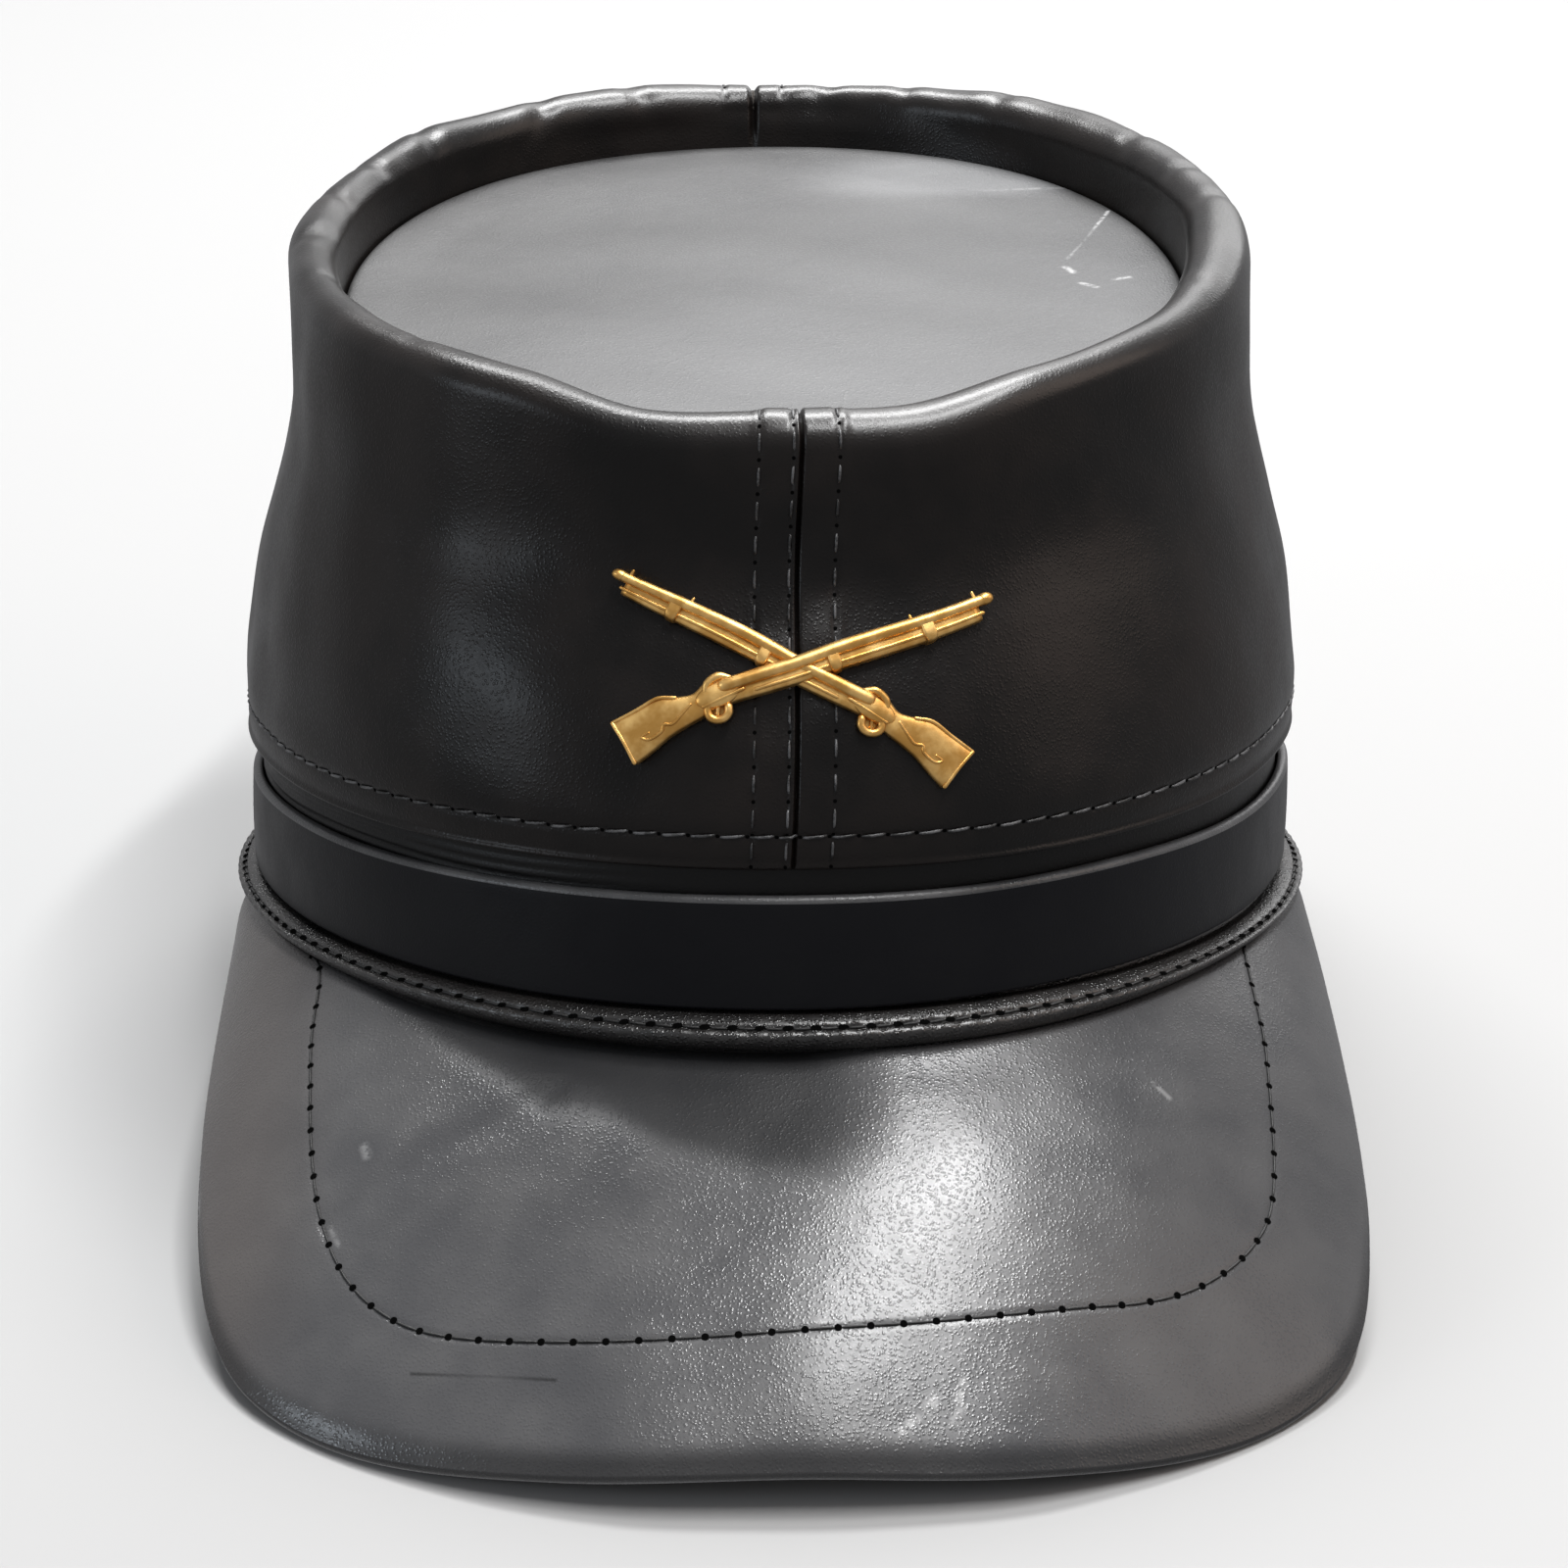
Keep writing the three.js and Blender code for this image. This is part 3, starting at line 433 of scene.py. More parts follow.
# Creases of the rolled rim: degrees round, station, half length along the J, half width, depth, slant.
RIM_CREASES = np.array([
    (232, 1.62, 0.30, 1.3, 0.55, 0.8), (244, 1.60, 0.26, 1.1, 0.5, -0.6), (256, 1.55, 0.24, 1.2, 0.45, 0.9),
    (271, 1.50, 0.22, 1.6, 0.5, -1.1), (288, 1.66, 0.2, 1.0, 0.3, 0.5), (212, 1.7, 0.35, 1.6, 0.5, 1.2),
    (197, 1.75, 0.4, 1.4, 0.45, -0.8), (170, 1.72, 0.4, 1.6, 0.5, 0.9), (158, 1.62, 0.3, 1.3, 0.4, -0.5),
    (143, 1.66, 0.3, 1.5, 0.4, 0.7), (118, 1.6, 0.25, 1.2, 0.4, -0.9), (104, 1.52, 0.24, 1.0, 0.45, 0.6),
    (92, 1.48, 0.2, 1.3, 0.4, -0.5), (63, 1.6, 0.2, 1.0, 0.22, 0.6), (315, 1.55, 0.2, 1.1, 0.2, -0.6),
])


def front_seam(station):
    """Angle of the front seam at a station: the halves were sewn so that it leans towards +X going up."""
    return FRONT_SEAM + mix(*SEAM_LEAN, np.clip(station, 0, 1)) / (RIM_WIDTH / 2)


def back_seam(station):
    """Angle of the back seam, which is upright."""
    return BACK_SEAM + 0 * station


def crease_lift(around, station):
    """Each crease is a narrow hill, turned into the leather, with a small swell on each side."""
    lift = np.zeros(np.broadcast(around, station).shape)
    for degrees, middle, reach, width, depth, slant in RIM_CREASES:
        across = seam_distance(around, station, np.radians(degrees)) - slant * 6 * (station - middle)
        along = bump(station - middle, reach)
        lift += CREASE_DEPTH * depth * along * (0.45 * bump(across, 4.8 * width) - bump(across, 1.6 * width))
    return lift


def crown_lift(around, station):
    """The leather's own relief over the plain crown, in mm."""
    plain = crown_skin(around, station, 0.0)
    edge = plain[..., 2] - (CROWN_BOTTOM + hem_rise(around))
    wall = station <= 1
    front, back = (seam_distance(around, station, seam) for seam in (front_seam(station), BACK_SEAM))

    # slack waves, calm round the badge, fading towards the lower edge and in the recess
    lift = soft_waves(plain, 58, 0.42, 3) + soft_waves(plain, 21, 0.15, 4)
    badge = np.hypot(front - BADGE_SHIFT, edge - BADGE_HEIGHT)
    lift *= 1 - 0.92 * bump(badge, 34)
    lift *= step_up(edge, 0, 14) * (1 - step_up(station, 1.9, 2.4))

    # the allowances that lie double beside the seams, and the edges that turn into them
    near_front = 1 - step_up(np.abs(front), 5.6, 7.4)
    lift += (0.26 + soft_waves(plain, 9, 0.09, 5)) * near_front * step_up(edge, 2, 14)
    lift += 0.2 * (1 - step_up(np.abs(back), 5, 7)) * step_up(edge, 2, 14) * (station < 2)
    lip = np.where(front > 0, 0.34, 0.22)
    lift -= 0.8 * bump(front, lip) + 1.1 * bump(back, 0.7)

    # a lip left of the front seam, and valleys under the stitching, deeper at every stitch
    pucker = 0.5 + 0.5 * np.cos(2 * np.pi * edge / SEAM_PITCH)
    lift += (0.14 + 0.14 * pucker) * bump(front + 0.75, 0.4) * wall
    rows = [bump(front - column, 0.55) for column in FRONT_COLUMNS]
    rows += [bump(back - column, 0.55) for column in BACK_COLUMNS]
    lift -= (0.12 + 0.16 * pucker) * sum(rows) * (1 - step_up(station, 1.7, 2.0))

    # the hem's row, the fold below it and the lower edge, which stands off at the sides
    lift -= 0.2 * bump(edge - HEM_ROW, 0.6) * wall
    flare = 0.1 + 0.45 * step_up(np.abs(np.sin(around)), 0.1, 0.42)
    lift += (0.12 * bump(edge - 2.4, 1.6) + flare * bump(edge - 0.4, 0.5)) * wall
    lift += crease_lift(around, station)
    return lift * (1 - 0.8 * step_up(station, 2.2, 3))


# %% Crown stations, closer together where the leather has detail
STATIONS = np.concatenate([
    np.linspace(0.004, 0.1, 22), np.linspace(0.1, 1, 72)[1:], np.linspace(1, 2, 22)[1:],
    np.linspace(2, 3, 9)[1:],
])


def crown_stations(side):
    """Angles of one half's sections, finest at the seams and 1.5 mm apart elsewhere. The halves meet edge
    to edge, since in the cap they are sewn together there."""
    gap = 0.02 / HEAD_WIDTH
    start, end = side * front_seam(STATIONS)[None, :] + gap, np.pi - gap
    reach = 8.5 / (HEAD_WIDTH / 2)
    near = start + reach * np.linspace(0, 1, 36)[:, None] ** 1.5
    far = end - reach * np.linspace(1, 0, 32)[:, None] ** 1.4 + 0 * start
    middle = mix(near[-1], far[0], np.linspace(0, 1, 146)[1:-1, None])
    return side * np.concatenate([near, middle, far])


def crown_sections(side):
    """Closed sections of one crown half: the outer skin upward, then the inner skin back down. The
    first two outer points round the lower edge. Behind the seams the leather lies double."""
    around = crown_stations(side)
    foot = around[:, :1]
    lift = crown_lift(around, STATIONS)
    outer = crown_skin(around, STATIONS, lift)
    lip = [crown_skin(foot, np.zeros(1), out) for out in (-0.62, -0.18)]
    seams = front_seam(STATIONS), back_seam(STATIONS)
    front, back = (np.abs(seam_distance(around, STATIONS, seam)) for seam in seams)
    double = (front < SEAM_FOLD) | (back < SEAM_FOLD)
    folded = double & (STATIONS > FOLD_START) & (STATIONS < 1)
    slack = soft_waves(crown_skin(around, STATIONS, 0.0), 58, 0.42, 3)
    slack *= step_up(STATIONS, 0.1, 0.3) * (1 - step_up(STATIONS, 0.9, 1.1)) * (lift > -0.5)
    inner = crown_skin(around, STATIONS, np.where(folded, -2 * CROWN_WALL, -CROWN_WALL) + 0.6 * slack)
    turned_in = [crown_skin(foot, np.zeros(1), out) for out in (-CROWN_WALL + 0.15, -CROWN_WALL)]
    return np.concatenate([lip[0], lip[1], outer, inner[:, ::-1], turned_in[1], turned_in[0]], axis=1)


# %% [markdown]
# Leather is never one even grey. Close up it is a pebbled grain, from further off it is uneven in gloss,
# and it is scuffed where it was handled. Those are three scales of noise in one shader: cells of half a
# millimetre feed the bump, waves of a few millimetres feed roughness, and slow waves feed colour. A short
# helper class lets the shader's maths be written as plain expressions.

# %% A bench for shader nodes
class Signal:
    """A node's output that can be used in sums: every operator adds one Math node."""

    def __init__(self, bench, socket):
        self.bench, self.socket = bench, socket

    def __add__(self, other):
        return self.bench.math("ADD", self, other)

    def __sub__(self, other):
        return self.bench.math("SUBTRACT", self, other)

    def __rsub__(self, other):
        return self.bench.math("SUBTRACT", other, self)

    def __mul__(self, other):
        return self.bench.math("MULTIPLY", self, other)

    __radd__ = __add__
    __rmul__ = __mul__


class Bench:
    """The nodes of one material."""

    def __init__(self, name):
        self.material = bpy.data.materials.new(name)
        self.material.use_nodes = True
        self.tree = self.material.node_tree
        self.tree.nodes.clear()

    def node(self, kind, settings=None, inputs=None, output=0):
        """Adds a node of a type: its settings first, then its sockets' values or links."""
        node = self.tree.nodes.new("ShaderNode" + kind)
        for key, value in (settings or {}).items():
            setattr(node, key, value)
        for key, value in (inputs or {}).items():
            if isinstance(value, Signal):
                self.tree.links.new(value.socket, node.inputs[key])
            else:
                node.inputs[key].default_value = value
        return Signal(self, node.outputs[output]) if node.outputs else None

    def math(self, operation, a, b=0.0, clamp=False):
        """One Math node; clamp keeps the result between 0 and 1."""
        return self.node("Math", {"operation": operation, "use_clamp": clamp}, {0: a, 1: b})

    def vector(self, operation, a, b, output=0):
        """One Vector Math node; output 1 gives a number."""
        return self.node("VectorMath", {"operation": operation}, {0: a, 1: b}, output)

    def ramp(self, value, low, high):
        """0 below low, 1 above high and a smooth step between."""
        settings = {"interpolation_type": "SMOOTHSTEP"}
        return self.node("MapRange", settings, {"Value": value, "From Min": low, "From Max": high})

    def blend(self, share, a, b):
        """A colour that lies a share of the way from a to b."""
        keys = {"Factor": share, 6: a, 7: b}
        return self.node("Mix", {"data_type": "RGBA", "clamp_factor": True}, keys, output=2)

    def place(self):
        """The place on the object, in its own coordinates."""
        return self.node("TexCoord", output=3)

    def kept(self, name):
        """A number that the mesh keeps on its points."""
        return self.node("Attribute", {"attribute_name": name}, output=2)

    def noise(self, scale, detail=2.0, roughness=0.5, vector=None):
        """Smooth noise from 0 to 1, with detail finer layers added."""
        keys = {"Vector": vector or self.place(), "Scale": scale, "Detail": detail, "Roughness": roughness}
        return self.node("TexNoise", {}, keys)

    def cells(self, scale, vector):
        """The distance from the middle of the nearest of many scattered cells."""
        return self.node("TexVoronoi", {"feature": "F1"}, {"Vector": vector, "Scale": scale})

    def stroke(self, start, end, width):
        """1 along a straight mark between two places (mm, cap's frame), fading to 0 at width mm from it:
        the distance from the nearest place on the mark."""
        first, last = place(np.array(start, float)), place(np.array(end, float))
        way = last - first
        offset = self.vector("SUBTRACT", self.place(), tuple(first))
        share = self.vector("DOT_PRODUCT", offset, tuple(way / (way @ way)), 1)
        share = self.math("ADD", share, 0.0, clamp=True)
        foot = self.node("VectorMath", {"operation": "SCALE"}, {0: tuple(way), "Scale": share})
        return self.ramp(self.vector("DISTANCE", offset, foot, 1), width / 1000, 0.0)

    def relief(self, height, depth, strength=1.0, normal=None):
        """A Bump node: height 1 stands depth metres over height 0."""
        keys = {"Strength": strength, "Distance": depth, "Height": height}
        if normal:
            keys["Normal"] = normal
        return self.node("Bump", {}, keys)

    def finish(self, flat=None, **inputs):
        """The Principled shader and the output; underscores in a name stand for spaces. flat is a share of
        the same finish without its sheen, mixed in, for painted shade."""
        keys = {key.replace("_", " "): value for key, value in inputs.items()}
        shader = self.node("BsdfPrincipled", {}, keys)
        if flat:
            keys["Specular IOR Level"] = 0.04
            shaded = self.node("BsdfPrincipled", {}, keys)
            shader = self.node("MixShader", {}, {0: flat, 1: shader, 2: shaded})
        self.node("OutputMaterial", {}, {"Surface": shader})
        return self.material


# %% [markdown]
# One recipe makes every leather here. The crown is dyed almost black, with a thin gloss on its rim where
# handling has polished it. The top and the peak are a greyer satin, the strap is plain and smooth, and the
# inside is the brushed flesh side of the same hides. The grain's cells are pulled about by noise, so that
# no two are alike.

# %% Leather finishes
def leather(name, dark, light, roughness, grain, speckle, specular=0.5, build=None, polish=None, shaded=None):
    """Grained leather between two colours. grain is the pebbles' depth in mm, speckle how much the gloss
    changes from pebble to pebble. build may change colour, roughness and normal before they are used.
    polish names a kept value that gives the leather a thin glossy coat where it is rubbed; the last argument
    names one for painted shade, which takes the leather's sheen away there."""
    bench = Bench(name)
    here = bench.place()
    stray = bench.node("TexNoise", {}, {"Vector": here, "Scale": 900.0, "Detail": 1.0}, output=1)
    drift = bench.node("VectorMath", {"operation": "SCALE"}, {0: stray, "Scale": 0.0006})
    pebble = bench.cells(1900.0, bench.vector("ADD", here, drift))
    fold = bench.noise(420.0, 3.0, 0.6, here)
    slow = bench.noise(26.0, 3.0, 0.55, here)
    cloud = bench.noise(95.0, 2.0, 0.5, here)
    colour = bench.blend(bench.ramp(slow * 0.6 + cloud * 0.4, 0.36, 0.66), (*dark, 1), (*light, 1))
    gloss = roughness + (cloud - 0.5) * 0.16 + (slow - 0.5) * 0.1 + (pebble - 0.35) * speckle
    height = bench.ramp(pebble, 0.55, 0.1) + fold * 0.6
    normal = bench.relief(height, grain / 1000)
    normal = bench.relief(cloud + bench.noise(160.0, 2.0, 0.5, here) * 0.5, 0.00022, 0.5, normal)
    if build:
        colour, gloss, normal = build(bench, colour, gloss, normal)
    coat = bench.kept(polish) * (0.16 + cloud * 0.4) if polish else 0.0
    return bench.finish(
        bench.kept(shaded) if shaded else None,
        Base_Color=colour, Roughness=bench.math("ADD", gloss, 0.0, clamp=True), Normal=normal,
        Specular_IOR_Level=specular, Coat_Weight=coat, Coat_Roughness=0.3,
    )


def marked(bench, colour, marks, pale):
    """The colour with pale marks over it, broken up by fine noise so that they look rubbed, not drawn."""
    broken = bench.ramp(bench.noise(900.0, 3.0, 0.65), 0.34, 0.56)
    for start, end, width, strength in marks:
        colour = bench.blend(bench.stroke(start, end, width) * broken * strength, colour, pale)
    return colour


CROWN_LEATHER = leather(
    "crown_leather", (0.0022, 0.0018, 0.0017), (0.0066, 0.0047, 0.004), 0.33, 0.025, 0.1,
    specular=0.24, polish="rubbed",
)
STRAP_LEATHER = leather(
    "strap_leather", (0.0022, 0.0024, 0.0038), (0.0034, 0.0036, 0.0048), 0.38, 0.01, 0.05, specular=0.17,
)
# the strap's upper edge: paler partly as a rubbed cut edge, partly as a painted highlight
STRAP_EDGE_AND_HIGHLIGHT = leather("strap_edge_and_highlight", (0.024, 0.0245, 0.026), (0.06, 0.06, 0.062), 0.36, 0.03, 0.1)
BAND_LEATHER = leather(
    "band_leather", (0.002, 0.002, 0.0022), (0.004, 0.0038, 0.0038), 0.42, 0.02, 0.1, specular=0.22,
)
WELT_LEATHER = leather(
    "welt_leather", (0.005, 0.0048, 0.005), (0.012, 0.0105, 0.0098), 0.3, 0.08, 0.2, specular=0.7,
)
FLESH_SIDE = leather(
    "flesh_side", (0.03, 0.026, 0.023), (0.052, 0.045, 0.04), 0.85, 0.12, 0.1, specular=0.25,
)


def thread_finish(name, dark, light, roughness):
    """Bonded thread: a slight twist in the gloss, dark in its lay and greyer where it is rubbed."""
    bench = Bench(name)
    lay, rub = bench.noise(2400.0, 2.0), bench.noise(330.0, 2.0)
    colour = bench.blend(bench.ramp(rub * 0.7 + lay * 0.3, 0.42, 0.62), (*dark, 1), (*light, 1))
    normal = bench.relief(lay, 0.00008)
    return bench.finish(Base_Color=colour, Roughness=roughness + lay * 0.2, Normal=normal)


def hole_shade_finish():
    """Painted shade of a needle hole: a near-black disc stands for the bottom of the hole, where next to no
    light comes.
    """
    bench = Bench("needle_hole_shade")
    shade = bench.blend(bench.noise(900.0, 1.0), (0.001, 0.001, 0.001, 1), (0.003, 0.003, 0.003, 1))
    return bench.finish(Base_Color=shade, Roughness=0.9, Specular_IOR_Level=0.0)


def brass_finish():
    """Stamped brass: warm metal, a little darker and duller in places, fine marks of the polishing."""
    bench = Bench("badge_brass")
    tone = bench.noise(260.0, 3.0, 0.6)
    marks = bench.noise(1500.0, 2.0)
    colour = bench.blend(bench.ramp(tone, 0.35, 0.7), (0.62, 0.33, 0.085, 1), (0.93, 0.6, 0.22, 1))
    normal = bench.relief(marks + tone, 0.00002)
    return bench.finish(Base_Color=colour, Metallic=1.0, Roughness=0.34 + tone * 0.14, Normal=normal)


RUBBED_THREAD = thread_finish("rubbed_thread", (0.006, 0.006, 0.0062), (0.075, 0.075, 0.078), 0.35)
BLACK_THREAD = thread_finish("black_thread", (0.002, 0.002, 0.002), (0.008, 0.008, 0.0082), 0.5)
NEEDLE_HOLE_SHADE = hole_shade_finish()
BRASS = brass_finish()

# %% Crown halves and their polished rim
def rim_rubbed(side):
    """How polished the rim is by handling: over the whole roll, less just left of the front seam."""
    around = crown_stations(side)
    rubbed = step_up(STATIONS, 0.93, 1.15) * (1 - step_up(STATIONS, 1.7, 2.1))
    rubbed = rubbed * (1 - 0.9 * bump(seam_distance(around, STATIONS, -0.42), 20))
    edge, back = np.zeros((len(around), 2)), np.zeros((len(around), len(STATIONS) + 2))
    return np.concatenate([edge, rubbed, back], axis=1)


for side, word in ((1, "right"), (-1, "left")):
    sections = crown_sections(side)
    inside = (sections.shape[1] // 2, sections.shape[1])
    make_loft(
        "crown_half_" + word, sections, False, [CROWN_LEATHER, FLESH_SIDE],
        ["crown_panel_" + word], inside, {"rubbed": rim_rubbed(side)},
    )


# %% [markdown]
# The top is a flat oval of leather sewn to the lower end of the turned-in wall. It is a disc of rings, each
# ring the recess's outline drawn in towards the middle. The last ring bends down where it is stitched.

# %% Sunken top
TOP_SAG = 0.25  # how far the leather lies under the top's plane


def top_sections():
    """Sections from the middle to the edge and back below: a share of the outline, with the height of
    the top's plane, slack waves, a slight sag and an edge that rounds down over its last millimetre."""
    around = np.linspace(0, 2 * np.pi, 193)[:-1][:, None]
    edge = wall_point(around, 1.0, -2 * ROLL_RADIUS - SEAM_GAP)
    middle = np.array([RIM_LEAN, RIM_SHIFT])
    share = np.concatenate([np.linspace(0, 0.96, 44), 1 - np.array([2.4, 1.6, 1.0, 0.55, 0.2, 0.0]) / 72])
    flat = middle + (edge[..., :2] - middle) * share[None, :, None]
    height = top_height(flat[..., 0], flat[..., 1])
    spots = np.concatenate([flat, height[..., None]], -1)
    sag = soft_waves(spots, 70, 0.3, 11) + soft_waves(spots, 26, 0.07, 12)
    sag = sag * (1 - step_up(share, 0.82, 0.99)) - TOP_SAG
    bent = np.clip((share - 0.986) / 0.014, 0, 1)
    rounded = 0.8 * (1 - np.sqrt(np.clip(1 - bent**2, 0, 1)))
    upper = spots.copy()
    upper[..., 2] += sag - rounded
    lower = spots.copy()
    lower[..., 2] -= TOP_WALL
    return np.concatenate([upper, lower[:, ::-1]], axis=1)


def top_painted_sheen(sections):
    """Painted sheen of the top, for the reflection of the light behind the cap: most at the back right, a
    broad soft zone in front of it, rising towards the right, least at the left and less in a small spot at
    the right.
    """
    x, y = sections[..., 0], sections[..., 1]
    back_right = np.exp(-(((x - 36) / 25) ** 4) - ((y - 58) / 10) ** 4)
    dark = np.exp(-(((x - 59) / 5) ** 2) - ((y - 44) / 7) ** 2)
    front = 0.3 * np.exp(-((x / 55) ** 2) - ((y + 50) / 40) ** 2)
    even = 0.16 + 0.0018 * x + soft_waves(sections, 33, 0.03, 13)
    return np.clip(back_right + front + even - 0.8 * dark, 0, 1)


# Scratches and scuffs of the top: start and end (x, y), width in mm and strength.
TOP_MARKS = [
    ((58.6, 36.0), (49.3, 12.0), 0.55, 0.9), ((48.6, 7.6), (49.6, 4.6), 1.0, 0.8),
    ((50.4, -1.4), (52.4, -3.6), 1.0, 0.8), ((56.0, 0.1), (58.2, 1.0), 0.9, 0.7),
    ((37.0, 50.4), (56.0, 49.0), 0.8, 0.3),
]


def top_sheen_and_scratches(bench, colour, gloss, normal):
    """The top is paler towards the back and the right, a painted sheen of the light behind it, and scratched
    there.
    """
    painted_sheen = bench.kept("painted_sheen")
    # painted sheen: the kept value pales the top where it stands for the reflection of the light behind the
    # cap
    colour = bench.blend(painted_sheen, colour, (0.088, 0.089, 0.091, 1))
    marks = [
        ([*start, top_height(*start) - TOP_SAG], [*end, top_height(*end) - TOP_SAG], width, strength)
        for start, end, width, strength in TOP_MARKS
    ]
    return marked(bench, colour, marks, (0.34, 0.34, 0.34, 1)), gloss - painted_sheen * 0.06, normal


TOP_LEATHER = leather(
    "top_leather", (0.012, 0.0118, 0.0122), (0.019, 0.0187, 0.0187), 0.5, 0.03, 0.14, build=top_sheen_and_scratches,
)
sections = top_sections()
inside = (sections.shape[1] // 2, sections.shape[1])
make_loft(
    "top_skin", sections, True, [TOP_LEATHER, FLESH_SIDE],
    ["sunken_top"], inside, {"painted_sheen": top_painted_sheen(sections)},
)


# %% [markdown]
# The base band is a ring of leather whose lower edge is turned out and back over a cord, which makes the
# welt. Its section is a curve through the welt's table. A row of stitches runs in a valley just over the
# bead, and each stitch pulls the leather down a little more, so the bead looks knotted.

# %% Base band with its welt
WELT_ROW = 0.43  # share of the welt's curve where its stitches run
WELT_PITCH = 4.0
WELT_STITCHES = 146


def strap_low(around):
    """Height of the strap's lower edge, which gives way a little where the base is drawn up."""
    return STRAP_BOTTOM + np.maximum(0, STRAP_ASKEW * np.sin(around)) + STRAP_EASE * base_rise(around)


def welt_skin(around, share):
    """A point of the welt: its curve from the strap (share 0) to the flat underside (share 1), with the
    stitching's valley and the bead below it."""
    table = np.column_stack([np.array([0, 0.2, 0.4, 0.6, 0.75, 0.9, 1.0]), WELT_ROWS])
    out, up = smooth_column(table, 1)(share), smooth_column(table, 2)(share)
    top = np.minimum(WELT_HEIGHT, strap_low(around) - SEAM_GAP)
    plain = head_oval(around, BAND_WALL + out * welt_reach(around), mix(base_rise(around), top, up))
    pull = 0.5 - 0.5 * np.cos(WELT_STITCHES * around)
    # the stitching's valley, the bead below it with its tucks, and a soft swell above
    lift = -(0.3 + 0.3 * pull) * bump(share - WELT_ROW, 0.055)
    lift = lift + 0.24 * bump(share - 0.58, 0.09) - 0.16 * pull * bump(share - 0.54, 0.1)
    lift = lift + 0.1 * bump(share - 0.22, 0.12)
    lean = np.pi / 2 * np.clip(share * 1.35, 0, 1)
    outward = head_oval(around, 1.0, 0.0) - head_oval(around, 0.0, 0.0)
    normal = outward * np.sin(lean)[..., None] + np.array([0, 0, 1.0]) * np.cos(lean)[..., None]
    return plain + normal * lift[..., None]


def band_sections():
    """Closed sections of the base band, from its inner foot up, over its top and down to the welt."""
    around = np.linspace(0, 2 * np.pi, 1169)[:-1][:, None]
    foot, low = base_rise(around), base_rise(around) + 0.6
    inner = [head_oval(around, 0.25, foot), head_oval(around, 0.0, low)]
    inner += [head_oval(around, 0.0, mix(low, BAND_TOP - 0.5, share)) for share in (0.25, 0.5, 0.75, 1.0)]
    upper_edge = (0.35, BAND_TOP), (1.45, BAND_TOP), (BAND_WALL, BAND_TOP - 0.5)
    over = [head_oval(around, out, z) for out, z in upper_edge]
    heights = np.concatenate([[30, 27.4], np.linspace(26.6, 20.6, 16), [17, 13, 9, WELT_HEIGHT + 0.9]])
    left = step_up(np.sin(-around), 0.1, 0.6)
    gathers = [0.16 * left * np.sin(4.2 * z + np.sin(9 * around)) * (20 < z < 27) for z in heights]
    face = [head_oval(around, BAND_WALL + out, z) for out, z in zip(gathers, heights)]
    share = np.linspace(0, 1, 30)[None, :]
    return np.concatenate([*inner, *over, *face, welt_skin(around, share)], axis=1)


sections = band_sections()
welt = (sections.shape[1] - 31, sections.shape[1] - 1)
make_loft(
    "base_leather", sections, True, [BAND_LEATHER, WELT_LEATHER], ["base_band"], welt,
)


# %% [markdown]
# The strap is one smooth length of leather laid round the base. Its edges are bevelled and rubbed. The
# upper one is paler, partly as a rubbed cut edge and partly as a painted highlight, a thin pale line.

# %% Strap
def strap_sections():
    """Closed sections of the strap: a slim upright rectangle with rounded corners, a hair convex."""
    around = np.linspace(0, 2 * np.pi, 385)[:-1][:, None]
    inside, outside = BAND_WALL + SEAM_GAP, BAND_WALL + SEAM_GAP + STRAP_WALL
    low, high = strap_low(around), STRAP_TOP + STRAP_ASKEW * np.sin(around)
    high = high + soft_waves(head_oval(around, 0.0, 0.0), 60, 0.16, 21)
    corner = np.linspace(0, np.pi / 2, 6)
    rows = [(inside + 0.2, low), (inside, low + 0.2), (inside, high - 0.2), (inside + 0.2, high)]
    rows += [(outside - 0.95 + 0.95 * np.sin(a), high - 0.95 * (1 - np.cos(a))) for a in corner]
    face = np.linspace(0, 1, 14)[1:-1]
    rows += [(outside + 0.12 * np.sin(np.pi * share), mix(high - 0.95, low + 0.5, share)) for share in face]
    rows += [(outside - 0.5 + 0.5 * np.cos(a), low + 0.5 - 0.5 * np.sin(a)) for a in corner]
    sections = np.concatenate([head_oval(around, out, z) for out, z in rows], axis=1)
    wave = soft_waves(sections, 45, 0.12, 22)
    outward = head_oval(around, 1.0, 0.0) - head_oval(around, 0.0, 0.0)
    return sections + outward * (wave * (np.arange(len(rows)) > 4))[..., None]


# rows of the strap's upper edge, which get the pale finish with its painted highlight
upper_edge = (3, 9)
make_loft(
    "strap_leather_band", strap_sections(), True, [STRAP_LEATHER, STRAP_EDGE_AND_HIGHLIGHT],
    ["hat_strap"], upper_edge,
)

# %% [markdown]
# The peak is two leathers over a stiff board, pressed into a curve and sewn round. Its surface runs from
# the crease under the welt to the outer edge. It keeps the pressed swell of the CAD model and adds what
# use gave it: a groove under the stitching, a soft hollow beside the welt, a fold that runs on from it and
# slack waves. Numbers kept on its points tell the finish where the leather is brown or dark, and where
# painted shade darkens it and takes its sheen: in the hollow, and a little at the right side.

# %% Peak
BOTH_SIDES = np.concatenate([PEAK_ROWS[:0:-1] * np.array([-1, -1, 1, 1]), PEAK_ROWS])
peak_out = smooth_column(BOTH_SIDES, 1)
peak_forward = smooth_column(BOTH_SIDES, 2)
peak_drop = smooth_column(BOTH_SIDES, 3)
PEAK_HALF_WIDTH = HEAD_WIDTH / 2 + WELT_OFFSET - PEAK_INSET
PEAK_DEPTH = 62  # length of the peak's face from crease to edge in front
PEAK_PITCH = 4.5


